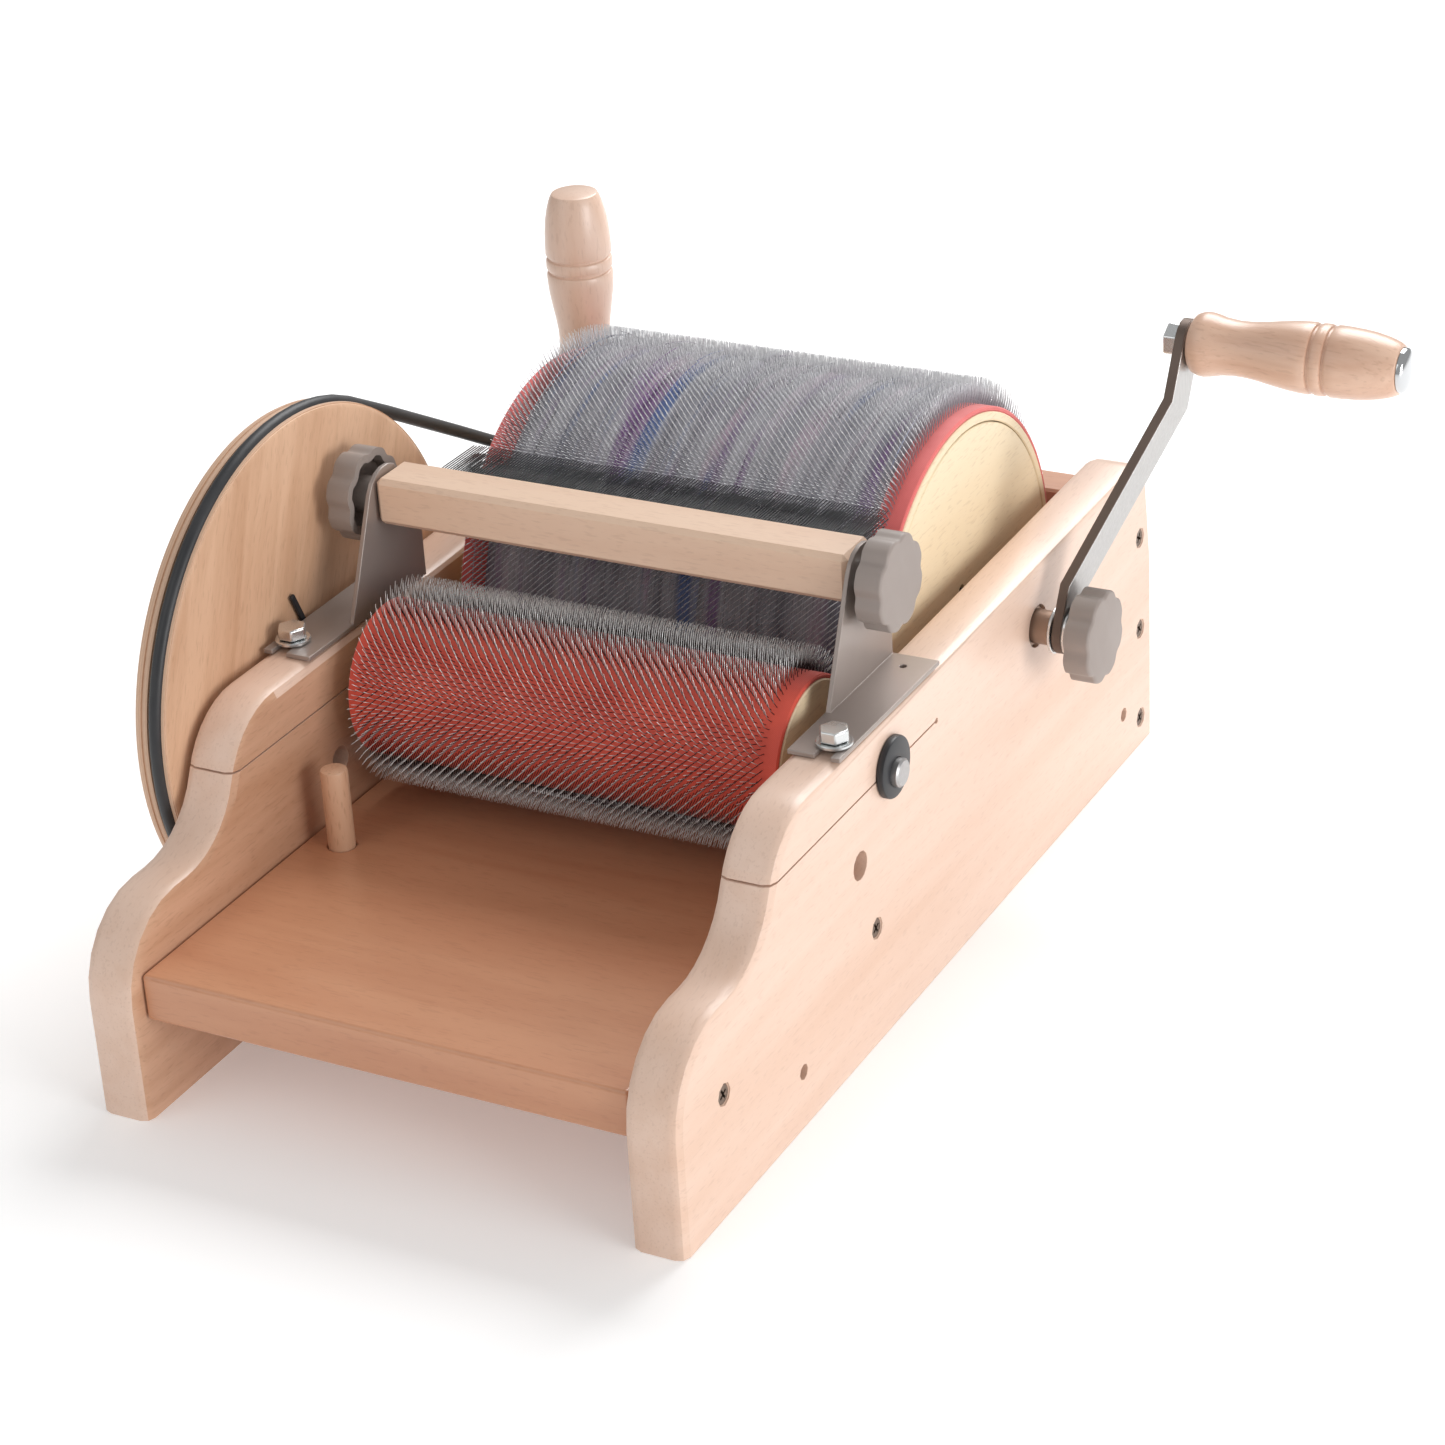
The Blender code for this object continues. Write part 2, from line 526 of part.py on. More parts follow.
# ---- drums ---------------------------------------------------------------------------------------
def toothed_sleeve_mesh(name, core_radius, base, tip, rows):
    """Card clothing as a sleeve whose wire rows are drawn together into sharp ridges along X."""
    bm = bmesh.new()
    count = 2 * rows
    inner = bore_radius(core_radius, count)
    ends = []
    for side in (-1, 1):
        x, tip_x = side * HALF_CLOTH, side * (HALF_CLOTH - TIP_TAPER)
        outer, core = [], []
        for i in range(count):
            angle = pi * i / rows
            radius, place_x = (tip, tip_x) if i % 2 else (base, x)
            outer.append(bm.verts.new((place_x, radius * cos(angle), radius * sin(angle))))
            core.append(bm.verts.new((x, inner * cos(angle), inner * sin(angle))))
        ends.append((outer, core))
    (outer0, core0), (outer1, core1) = ends
    for i in range(count):
        j = (i + 1) % count
        bm.faces.new((outer0[i], outer0[j], core0[j], core0[i]))
        bm.faces.new((outer1[i], core1[i], core1[j], outer1[j]))
        bm.faces.new((outer0[i], outer1[i], outer1[j], outer0[j]))
        bm.faces.new((core0[i], core0[j], core1[j], core1[i]))
    bmesh.ops.triangulate(bm, faces=bm.faces)
    return finish_mesh(bm, name, smooth=False)


def build_licker():
    axis = (0, LICKER_Y, LICKER_Z)
    core = ring_mesh("licker_core", -HALF_DRUM, HALF_DRUM, bore_radius(LICKER_AXLE_RADIUS, 16),
                     LICKER_CORE_RADIUS, 40)
    place("licker_core", core, "end_wood", axis)
    cloth = toothed_sleeve_mesh("licker_cloth", LICKER_CORE_RADIUS, LICKER_CLOTH_RADIUS, LICKER_TIP_RADIUS,
                                LICKER_ROWS)
    place("licker_cloth", cloth, "red_cloth", axis)
    place("licker_axle", rod_mesh("licker_axle", LICKER_AXLE_LEFT, LICKER_AXLE_RIGHT, LICKER_AXLE_RADIUS, 16),
          "steel", axis)


def build_eccentric_bush(name, side, flange):
    """Plastic bush in a panel, with the axle's bore below its own axis; the left one has a lever."""
    profile = [(BUSH_INNER_X, 0.0), (BUSH_INNER_X, BUSH_RADIUS),
               (HALF_OUTER + GAP, BUSH_RADIUS), (HALF_OUTER + GAP, BUSH_FLANGE_RADIUS),
               (HALF_OUTER + GAP + flange, BUSH_FLANGE_RADIUS), (HALF_OUTER + GAP + flange, 0.0)]
    if side < 0:
        profile = [(-x, r) for x, r in reversed(profile)]
    bush = place(name, lathe_mesh(name, profile, 24), "black_plastic", (0, LICKER_Y, BUSH_Z))
    if side < 0:
        x0 = -HALF_OUTER - GAP - flange
        lever = box_mesh("lever", (x0, -LEVER_WIDTH / 2, 0.0), (x0 + flange, LEVER_WIDTH / 2, LEVER_LENGTH))
        cut(bush, lever, (0, LICKER_Y, BUSH_Z), (LEVER_ANGLE, 0, 0), operation="UNION")
    reach = HALF_OUTER + flange + CUT_MARGIN
    x0, x1 = sorted((side * (HALF_INNER - CUT_MARGIN), side * reach))
    cut(bush, rod_mesh("axle_bore", x0, x1, bore_radius(LICKER_AXLE_RADIUS, 16), 16), (0, LICKER_Y, LICKER_Z))


def build_swift():
    axis = (0, SWIFT_Y, SWIFT_Z)
    shell_inner = SWIFT_SHELL_RADIUS - SWIFT_SHELL_WALL
    shell = ring_mesh("swift_shell", -HALF_DRUM, HALF_DRUM, shell_inner, SWIFT_SHELL_RADIUS, 48)
    place("swift_shell", shell, "end_wood", axis)
    end_radius = shell_inner * cos(pi / 48) - GAP
    bore = bore_radius(SWIFT_AXLE_RADIUS, 16)
    for side, name in ((-1, "swift_end_left"), (1, "swift_end_right")):
        x0, x1 = sorted((side * (HALF_DRUM - SWIFT_END_THICKNESS), side * HALF_DRUM))
        end = place(name, ring_mesh(name, x0, x1, bore, end_radius, 48), "end_wood", axis)
        if side > 0:
            hole = rod_mesh("index_hole", x1 - INDEX_HOLE_DEPTH, x1 + CUT_MARGIN, INDEX_HOLE_RADIUS, 8)
            angle = radians(INDEX_HOLE_ANGLE)
            y, z = SWIFT_Y + INDEX_HOLE_OFFSET * cos(angle), SWIFT_Z + INDEX_HOLE_OFFSET * sin(angle)
            cut(end, hole, (0, y, z))
    cloth = toothed_sleeve_mesh("swift_cloth", SWIFT_SHELL_RADIUS, SWIFT_CLOTH_RADIUS, SWIFT_TIP_RADIUS,
                                SWIFT_ROWS)
    place("swift_cloth", cloth, "steel_wire", axis)
    stud_end = CRANK_KNOB_X + STUD_IN_KNOB
    left_end = BELT_X - PULLEY_HALF_THICKNESS - SWIFT_AXLE_TAIL
    profile = [(left_end, 0), (left_end, SWIFT_AXLE_RADIUS), (CRANK_SHOULDER_X, SWIFT_AXLE_RADIUS),
               (CRANK_SHOULDER_X, CRANK_STUD_RADIUS), (stud_end, CRANK_STUD_RADIUS), (stud_end, 0)]
    place("swift_axle", lathe_mesh("swift_axle", profile, 16), "steel", axis)
    for side, name in ((-1, "swift_bush_left"), (1, "swift_bush_right")):
        x0, x1 = sorted((side * HALF_INNER, side * (HALF_OUTER - SWIFT_BUSH_RECESS)))
        place(name, ring_mesh(name, x0, x1, bore, SWIFT_BUSH_RADIUS, 20), "bronze", axis)


# ---- belt drive ----------------------------------------------------------------------------------
def groove_points(x, line, start, end, steps=3):
    """Points of a round belt groove, by angle about the belt's centre: 180 is towards -X."""
    radius = BELT_RADIUS + GROOVE_CLEARANCE
    angles = [radians(start + (end - start) * i / steps) for i in range(steps + 1)]
    return [(x + radius * cos(a), line + radius * sin(a)) for a in angles]


def build_wheel_disc(name, x_open, x_rim, start, end):
    """One of the two glued wooden discs of the drive wheel, with half of the belt groove."""
    toward = 1 if x_rim > x_open else -1
    bore = bore_radius(LICKER_AXLE_RADIUS, 16)
    groove = groove_points(BELT_X, BELT_LINE, start, end)
    profile = [(x_open, bore), *groove, (x_rim - toward * WHEEL_EDGE * WHEEL_EDGE_CROWN, WHEEL_RADIUS),
               (x_rim, WHEEL_RADIUS - WHEEL_EDGE), (x_rim, bore)]
    mesh = lathe_mesh(name, profile, 48, closed=True)
    place(name, mesh, "wheel_wood", (0, LICKER_Y, LICKER_Z))


def build_drive_wheel():
    lip = degrees(asin(WHEEL_LIP / (BELT_RADIUS + GROOVE_CLEARANCE)))
    build_wheel_disc("drive_wheel_inner_disc", BELT_X + GAP / 2, WHEEL_INNER_X, -87.5, -lip)
    build_wheel_disc("drive_wheel_outer_disc", BELT_X - GAP / 2, WHEEL_OUTER_X, -92.5, -180 + lip)
    x1 = WHEEL_OUTER_X - GAP
    bore = bore_radius(LICKER_AXLE_RADIUS, 6)
    nut = hex_mesh("wheel_nut", x1 - WHEEL_NUT_THICKNESS, x1, WHEEL_NUT_RADIUS, bore)
    place("wheel_nut", nut, "zinc", (0, LICKER_Y, LICKER_Z))


def build_pulley(name, axis, line, shaft_radius):
    """Small grooved pulley at the belt's plane, with a hub that reaches the side panel."""
    bore = bore_radius(shaft_radius, 16)
    hub_radius = shaft_radius + PULLEY_HUB_WALL
    x0, x1 = BELT_X - PULLEY_HALF_THICKNESS, BELT_X + PULLEY_HALF_THICKNESS
    rim = line - PULLEY_LIP
    profile = [(x0, bore), (x0, rim), *groove_points(BELT_X, line, -174, -6, 4), (x1, rim), (x1, hub_radius),
               (-HALF_OUTER - GAP, hub_radius), (-HALF_OUTER - GAP, bore)]
    place(name, lathe_mesh(name, profile, 24, closed=True), "black_plastic", axis)


def belt_path(pulleys):
    """Closed Y-Z path of a belt round pulleys of (y, z, radius, turn); turn is +1 anticlockwise."""
    runs = []
    for (y0, z0, r0, s0), (y1, z1, r1, s1) in zip(pulleys, pulleys[1:] + pulleys[:1]):
        dy, dz = y1 - y0, z1 - z0
        heading = atan2(dz, dy) - asin((s1 * r1 - s0 * r0) / hypot(dy, dz))
        runs.append(degrees(heading))
    points = []
    for (y, z, r, s), arriving, leaving in zip(pulleys, runs[-1:] + runs[:-1], runs):
        sweep = (s * (leaving - arriving)) % 360
        start = arriving - s * 90
        step = 10.0 if r > SWIFT_BELT_LINE else 20.0
        points += arc_points((y, z), r, start, start + s * sweep, step)
    return clean_outline(points)


def build_belt():
    pulleys = [(LICKER_Y, LICKER_Z, BELT_LINE, -1), (IDLER_Y, IDLER_Z, IDLER_BELT_LINE, -1),
               (SWIFT_Y, SWIFT_Z, SWIFT_BELT_LINE, 1)]
    path = belt_path(pulleys)
    curve = bpy.data.curves.new("drive_belt", "CURVE")
    curve.dimensions = "3D"
    curve.bevel_depth = BELT_RADIUS
    curve.bevel_resolution = 2
    curve.use_fill_caps = True
    spline = curve.splines.new("POLY")
    spline.points.add(len(path) - 1)
    for point, (y, z) in zip(spline.points, path):
        point.co = (0.0, y, z, 1.0)
    spline.use_cyclic_u = True
    place("drive_belt", curve, "rubber", (BELT_X, 0, 0))


def build_idler():
    build_pulley("idler_pulley", (0, IDLER_Y, IDLER_Z), IDLER_BELT_LINE, IDLER_STUD_RADIUS)
    head = BELT_X - PULLEY_HALF_THICKNESS - GAP
    tip = -HALF_OUTER + IDLER_STUD_DEPTH
    profile = [(head - IDLER_HEAD_HEIGHT, 0), (head - IDLER_HEAD_HEIGHT, IDLER_HEAD_RADIUS),
               (head, IDLER_HEAD_RADIUS), (head, IDLER_STUD_RADIUS), (tip, IDLER_STUD_RADIUS), (tip, 0)]
    place("idler_stud", lathe_mesh("idler_stud", profile, 16), "zinc", (0, IDLER_Y, IDLER_Z))


# ---- packer brush --------------------------------------------------------------------------------
def bracket_plate_outline():
    """Upright plate of a bracket: wide foot, slanted front edge and a head round the brush pivot."""
    lean = degrees(atan2(BRUSH_Z - BRACKET_Z, BRUSH_Y - BRACKET_HEAD_RADIUS - BRACKET_PLATE_FRONT))
    points = [(BRACKET_PLATE_FRONT, BRACKET_Z)]
    points += arc_points((BRUSH_Y, BRUSH_Z), BRACKET_HEAD_RADIUS, 90 + lean, 60, 20)
    points += [(BRACKET_REAR, BRUSH_Z - BRACKET_CHIN), (BRACKET_REAR, BRACKET_Z)]
    return points


def build_bracket(name, side):
    x_in, x_out = side * BRACKET_X, side * (BRACKET_X + BRACKET_SHEET)
    plate = place(name, prism_mesh(name, bracket_plate_outline(), *sorted((x_in, x_out))), "painted_steel")
    flange_x = sorted((x_in, side * (BRACKET_X + BRACKET_WIDTH)))
    flange = box_mesh("flange", (flange_x[0], BRACKET_FRONT, BRACKET_Z),
                      (flange_x[1], BRACKET_REAR, BRACKET_Z + BRACKET_SHEET))
    cut(plate, flange, operation="UNION")
    bolt_x = side * BRACKET_BOLT_X
    slot_end = bore_radius(BRACKET_SLOT_RADIUS, 12, 0.0)
    z0, z1 = BRACKET_Z - CUT_MARGIN, BRACKET_Z + BRACKET_SHEET + CUT_MARGIN
    cut(plate, rod_mesh("slot_end", z0, z1, slot_end, 12), (bolt_x, BRACKET_BOLT_Y, 0), (0, -90, 0))
    cut(plate, box_mesh("slot", (bolt_x - BRACKET_SLOT_RADIUS, BRACKET_FRONT - CUT_MARGIN, z0),
                        (bolt_x + BRACKET_SLOT_RADIUS, BRACKET_BOLT_Y, z1)))
    cut(plate, rod_mesh("pin_hole", z0, z1, BRACKET_PIN_HOLE_RADIUS, 6),
        (bolt_x - side * BRACKET_PIN_HOLE_INSET, BRACKET_REAR - BRACKET_PIN_HOLE_SETBACK, 0), (0, -90, 0))
    stud_hole = rod_mesh("stud_hole", x_in - side * CUT_MARGIN, x_out + side * CUT_MARGIN,
                         bore_radius(STUD_RADIUS, 12), 12)
    cut(plate, stud_hole, (0, BRUSH_Y, BRUSH_Z))


def build_bracket_bolt(side, side_name):
    x = side * BRACKET_BOLT_X
    washer_z = BRACKET_Z + BRACKET_SHEET + GAP
    head_z = washer_z + WASHER_THICKNESS + GAP
    bore = bore_radius(BOLT_SHANK_RADIUS, 12)
    washer = ring_mesh("washer", 0, WASHER_THICKNESS, bore, BOLT_WASHER_RADIUS, 12)
    place(f"bracket_washer_{side_name}", washer, "zinc", (x, BRACKET_BOLT_Y, washer_z), (0, -90, 0))
    name = f"bracket_bolt_{side_name}"
    bolt = place(name, hex_mesh(name, 0, BOLT_HEAD_HEIGHT, BOLT_HEAD_RADIUS), "zinc",
                 (x, BRACKET_BOLT_Y, head_z), (0, -90, 0))
    shank = rod_mesh("shank", PANEL_HEIGHT - BOLT_LENGTH - head_z, BOLT_HEAD_HEIGHT / 2, BOLT_SHANK_RADIUS, 10)
    cut(bolt, shank, (x, BRACKET_BOLT_Y, head_z), (0, -90, 0), operation="UNION")


def build_brush():
    bar_low, bar_high = (-REACH, -BAR_FRONT, -BAR_BELOW), (REACH, BAR_REAR, BAR_ABOVE)
    bar_mesh = box_mesh("brush_bar", bar_low, bar_high, BAR_CHAMFER)
    bar = place("brush_bar", bar_mesh, "beech", (0, BRUSH_Y, BRUSH_Z))
    channel_front = BAR_REAR + GAP
    channel = box_mesh("brush_channel", (-HALF_CLOTH, channel_front, -CHANNEL_BELOW),
                       (HALF_CLOTH, channel_front + CHANNEL_DEPTH, CHANNEL_ABOVE))
    place("brush_channel", channel, "painted_steel", (0, BRUSH_Y, BRUSH_Z))
    root = channel_front + CHANNEL_DEPTH + GAP
    low, high = -BRISTLE_BELOW, -BRISTLE_BELOW + BRISTLE_THICKNESS
    reach = SWIFT_TIP_RADIUS + 2 * GAP
    outline = [(root, low)]
    for z in (low, (low + high) / 2, high):
        drop = BRUSH_Z + z - SWIFT_Z
        outline.append((SWIFT_Y - (reach ** 2 - drop ** 2) ** 0.5 - BRUSH_Y, z))
    outline.append((root, high))
    bristles = prism_mesh("brush_bristles", outline, -HALF_CLOTH, HALF_CLOTH)
    place("brush_bristles", bristles, "bristle", (0, BRUSH_Y, BRUSH_Z))
    for side, side_name in ((-1, "left"), (1, "right")):
        x0, x1 = REACH - STUD_IN_BAR, BRUSH_KNOB_X + STUD_IN_KNOB
        hole = rod_mesh("stud_hole", side * (x0 - GAP), side * (REACH + CUT_MARGIN),
                        bore_radius(STUD_RADIUS, 12), 12)
        cut(bar, hole, (0, BRUSH_Y, BRUSH_Z))
        place(f"brush_stud_{side_name}", rod_mesh("stud", side * x0, side * x1, STUD_RADIUS, 12), "zinc",
              (0, BRUSH_Y, BRUSH_Z))
        washer = ring_mesh("washer", side * BRUSH_WASHER_X, side * (BRUSH_WASHER_X + WASHER_THICKNESS),
                           bore_radius(STUD_RADIUS, 12), BOLT_WASHER_RADIUS, 12)
        place(f"brush_washer_{side_name}", washer, "zinc", (0, BRUSH_Y, BRUSH_Z))
        build_knob(f"brush_knob_{side_name}", (side * BRUSH_KNOB_X, BRUSH_Y, BRUSH_Z), side, STUD_RADIUS)
        build_bracket(f"brush_bracket_{side_name}", side)
        build_bracket_bolt(side, side_name)


def knob_outline():
    """Rosette of broad convex lobes with shallow scallops between them."""
    count = KNOB_LOBES * KNOB_LOBE_POINTS
    points = []
    for i in range(count):
        angle = 2 * pi * i / count
        scallop = max(0.0, cos(KNOB_LOBES * angle)) ** 2
        radius = KNOB_RADIUS - KNOB_FLUTE * scallop
        points.append((radius * cos(angle), radius * sin(angle)))
    return points


def build_knob(name, location, side, stud_radius):
    """Hollow fluted knob that faces +X or -X, with a central boss round the stud."""
    body0, body1 = side * KNOB_BOSS_HEIGHT, side * (KNOB_BOSS_HEIGHT + KNOB_THICKNESS)

    def on_outer_face(edge):
        return all(abs(v.co.x - body1) < TINY for v in edge.verts)

    mesh = prism_mesh(name, knob_outline(), *sorted((body0, body1)), on_outer_face, KNOB_ROUNDOVER, 1)
    knob = place(name, mesh, "knob_plastic", location)
    floor = side * (KNOB_BOSS_HEIGHT + KNOB_THICKNESS - KNOB_FACE)
    hollow = ring_mesh("hollow", -side * CUT_MARGIN, floor, KNOB_BOSS_RADIUS, KNOB_RADIUS - KNOB_WALL, 24)
    cut(knob, hollow, location)
    boss = rod_mesh("boss", 0.0, side * (KNOB_BOSS_HEIGHT + KNOB_FACE), KNOB_BOSS_RADIUS - KNOB_BOSS_STEP, 24)
    cut(knob, boss, location, operation="UNION")
    bore = rod_mesh("bore", -side * CUT_MARGIN, side * (STUD_IN_KNOB + GAP), bore_radius(stud_radius, 12), 12)
    cut(knob, bore, location)


# ---- crank and awl -------------------------------------------------------------------------------
def crank_profile():
    """Edge view of the crank arm as (x, distance along the arm) points: two flats and a slant."""
    start, low = -CRANK_WIDTH / 2, CRANK_HUB_FLAT
    high, end = CRANK_LENGTH - CRANK_END_FLAT, CRANK_LENGTH + CRANK_WIDTH / 2
    slant = atan2(CRANK_OFFSET, high - low)
    shift = CRANK_THICKNESS * sin(slant / 2)
    x0, x1 = CRANK_HUB_X, CRANK_HUB_X + CRANK_OFFSET
    inner = [(x0, start), (x0, low + shift), (x1, high + shift), (x1, end)]
    outer = [(x + CRANK_THICKNESS, along - (shift if 0 < i < 3 else 0.0)) for i, (x, along) in enumerate(inner)]
    return inner + outer[::-1]


def build_crank():
    bm = bmesh.new()
    half = CRANK_WIDTH / 2
    face = bm.faces.new([bm.verts.new((x, -half, along)) for x, along in crank_profile()])
    extruded = bmesh.ops.extrude_face_region(bm, geom=[face])
    moved = [item for item in extruded["geom"] if isinstance(item, bmesh.types.BMVert)]
    bmesh.ops.translate(bm, verts=moved, vec=(0, CRANK_WIDTH, 0))
    bm.edges.ensure_lookup_table()
    ends = (-half, CRANK_LENGTH + half)
    corners = [e for e in bm.edges if abs(e.verts[0].co.y - e.verts[1].co.y) < TINY
               and abs(e.verts[0].co.z - e.verts[1].co.z) < TINY
               and min(abs(e.verts[0].co.z - z) for z in ends) < TINY]
    bmesh.ops.bevel(bm, geom=corners, offset=half * CRANK_END_ROUNDING, segments=4, profile=0.5, affect="EDGES")
    axis = (0, SWIFT_Y, SWIFT_Z)
    arm = place("crank_arm", finish_mesh(bm, "crank_arm"), "arm_steel", axis, (-CRANK_ANGLE, 0, 0))
    x0, x1 = CRANK_HUB_X - CUT_MARGIN, CRANK_HUB_X + CRANK_THICKNESS + CUT_MARGIN
    stud_bore = bore_radius(CRANK_STUD_RADIUS, 12)
    bolt_bore = bore_radius(GRIP_BOLT_RADIUS, 12)
    cut(arm, rod_mesh("hub_hole", x0, x1, stud_bore, 12), axis)
    cut(arm, rod_mesh("grip_hole", x0 + CRANK_OFFSET, x1 + CRANK_OFFSET, bolt_bore, 12), (0, GRIP_Y, GRIP_Z))

    spacer_start = HALF_OUTER - SWIFT_BUSH_RECESS + GAP
    spacer = ring_mesh("crank_spacer", spacer_start, CRANK_SHOULDER_X, bore_radius(SWIFT_AXLE_RADIUS, 16),
                       SWIFT_AXLE_RADIUS + CRANK_SPACER_WALL, 16)
    place("crank_spacer", spacer, "bronze", axis)
    for name, x in (("crank_washer", CRANK_SHOULDER_X + GAP), ("crank_lock_washer", CRANK_LOCK_X)):
        washer = ring_mesh(name, x, x + WASHER_THICKNESS, stud_bore, CRANK_WASHER_RADIUS, 12)
        place(name, washer, "zinc", axis)
    build_knob("crank_knob", (CRANK_KNOB_X, SWIFT_Y, SWIFT_Z), 1, CRANK_STUD_RADIUS)


def grip_profile():
    """Turned grip as (distance, radius): bead, waist, swell, two grooves and a tapered far end."""
    points = list(GRIP_NECK)
    for setback in GRIP_GROOVES:
        middle = GRIP_LENGTH - setback
        points += [(middle - GRIP_GROOVE_REACH, GRIP_RADIUS), (middle, GRIP_RADIUS - GRIP_GROOVE_DEPTH),
                   (middle + GRIP_GROOVE_REACH, GRIP_RADIUS)]
    return points + [(GRIP_LENGTH - setback, radius) for setback, radius in GRIP_NOSE]


def build_grip():
    bore = bore_radius(GRIP_BOLT_RADIUS, 16)
    profile = [(0.0, bore), *grip_profile(), (GRIP_LENGTH, bore)]
    grip = lathe_mesh("crank_grip", profile, 16, closed=True)
    place("crank_grip", grip, "beech", (GRIP_X, GRIP_Y, GRIP_Z))
    nut_end = GRIP_ARM_X - GAP
    tail = nut_end - GRIP_NUT_THICKNESS - GRIP_BOLT_TAIL
    bolt = [(tail, 0), (tail, GRIP_BOLT_RADIUS), (GRIP_CAP_X, GRIP_BOLT_RADIUS)]
    bolt += [(GRIP_CAP_X + x, radius) for x, radius in GRIP_CAP]
    place("grip_bolt", lathe_mesh("grip_bolt", bolt, 16), "chrome", (0, GRIP_Y, GRIP_Z))
    nut_bore = bore_radius(GRIP_BOLT_RADIUS, 6)
    nut = hex_mesh("grip_nut", nut_end - GRIP_NUT_THICKNESS, nut_end, GRIP_NUT_RADIUS, nut_bore)
    place("grip_nut", nut, "zinc", (0, GRIP_Y, GRIP_Z))


def build_awl():
    foot = (AWL_X, AWL_Y, top_height(AWL_Y))
    rod_top = AWL_NECK + AWL_ROD_IN_HANDLE
    handle = lathe_mesh("awl_handle", [(0.0, 0.0), *grip_profile(), (GRIP_LENGTH, 0.0)], 16)
    awl = place("awl_handle", handle, "beech", (foot[0], foot[1], foot[2] + AWL_NECK), (0, -90, 0))
    socket = rod_mesh("socket", -CUT_MARGIN, AWL_ROD_IN_HANDLE + GAP, bore_radius(AWL_ROD_RADIUS, 8), 8)
    cut(awl, socket, (foot[0], foot[1], foot[2] + AWL_NECK), (0, -90, 0))
    rod = [(-AWL_ROD_EMBEDMENT, 0), (-AWL_ROD_EMBEDMENT + AWL_POINT, AWL_ROD_RADIUS), (rod_top, AWL_ROD_RADIUS),
           (rod_top, 0)]
    place("awl_rod", lathe_mesh("awl_rod", rod, 8), "steel", foot, (0, -90, 0))


# ---- build ---------------------------------------------------------------------------------------
def main():
    for obj in list(bpy.data.objects):
        bpy.data.objects.remove(obj, do_unlink=True)
    origin = bpy.data.objects.new("machine_origin", None)
    bpy.context.scene.collection.objects.link(origin)
    origin.location = (ORIGIN_X, ORIGIN_Y, 0.0)
    MATERIALS.update({
        "beech": make_material("beech", (0.80, 0.60, 0.44), 0.38),
        "tray_wood": make_material("tray_wood", (0.74, 0.50, 0.35), 0.42),
        "wheel_wood": make_material("wheel_wood", (0.74, 0.51, 0.32), 0.45),
        "end_wood": make_material("end_wood", (0.86, 0.71, 0.48), 0.55),
        "red_cloth": make_material("red_cloth", (0.62, 0.09, 0.06), 0.6),
        "steel_wire": make_material("steel_wire", (0.55, 0.53, 0.57), 0.4, 0.6),
        "steel": make_material("steel", (0.55, 0.54, 0.53), 0.35, 1.0),
        "arm_steel": make_material("arm_steel", (0.56, 0.54, 0.52), 0.4, 0.9),
        "zinc": make_material("zinc", (0.70, 0.71, 0.71), 0.3, 1.0),
        "chrome": make_material("chrome", (0.80, 0.81, 0.82), 0.08, 1.0),
        "bronze": make_material("bronze", (0.34, 0.24, 0.20), 0.45, 0.6),
        "dark_steel": make_material("dark_steel", (0.20, 0.15, 0.12), 0.4, 0.9),
        "painted_steel": make_material("painted_steel", (0.40, 0.33, 0.28), 0.35, 0.3),
        "knob_plastic": make_material("knob_plastic", (0.38, 0.31, 0.28), 0.45),
        "black_plastic": make_material("black_plastic", (0.03, 0.03, 0.035), 0.4),
        "rubber": make_material("rubber", (0.015, 0.016, 0.018), 0.5),
        "bristle": make_material("bristle", (0.02, 0.02, 0.02), 0.7),
    })
    build_frame()
    build_licker()
    build_eccentric_bush("eccentric_bush_left", -1, BUSH_FLANGE_LEFT)
    build_eccentric_bush("eccentric_bush_right", 1, BUSH_FLANGE_RIGHT)
    build_swift()
    build_drive_wheel()
    build_pulley("swift_pulley", (0, SWIFT_Y, SWIFT_Z), SWIFT_BELT_LINE, SWIFT_AXLE_RADIUS)
    build_idler()
    build_belt()
    build_brush()
    build_crank()
    build_grip()
    build_awl()
    bpy.context.view_layer.update()


MATERIALS = {}
main()
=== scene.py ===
"""Looks of a hand-cranked wool drum carder, laid out as an add-on and run as a script.

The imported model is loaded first. Each operator then dresses one group of its parts: wooden panels and
boards, drums with their wire clothing, belt drive, packer brush, crank, awl and small metal, and the studio.
"""
import json
import math
import random

import bmesh
import bpy
from bpy.props import FloatProperty, FloatVectorProperty, IntProperty, PointerProperty
from mathutils import Matrix, Vector, noise


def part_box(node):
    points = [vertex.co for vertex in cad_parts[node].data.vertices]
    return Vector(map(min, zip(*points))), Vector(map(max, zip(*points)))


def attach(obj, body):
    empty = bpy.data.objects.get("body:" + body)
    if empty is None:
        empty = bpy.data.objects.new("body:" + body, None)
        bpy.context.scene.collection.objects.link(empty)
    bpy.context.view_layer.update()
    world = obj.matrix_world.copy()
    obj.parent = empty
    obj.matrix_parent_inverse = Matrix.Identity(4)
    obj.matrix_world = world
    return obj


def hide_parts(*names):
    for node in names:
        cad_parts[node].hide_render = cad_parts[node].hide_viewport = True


bl_info = {
    "name": "Wool Drum Carder",
    "version": (1, 0, 0),
    "blender": (4, 5, 0),
    "location": "View3D > Sidebar > Drum Carder",
    "description": "Builds the visible pieces and finishes of a hand-cranked wool drum carder",
    "category": "Object",
}

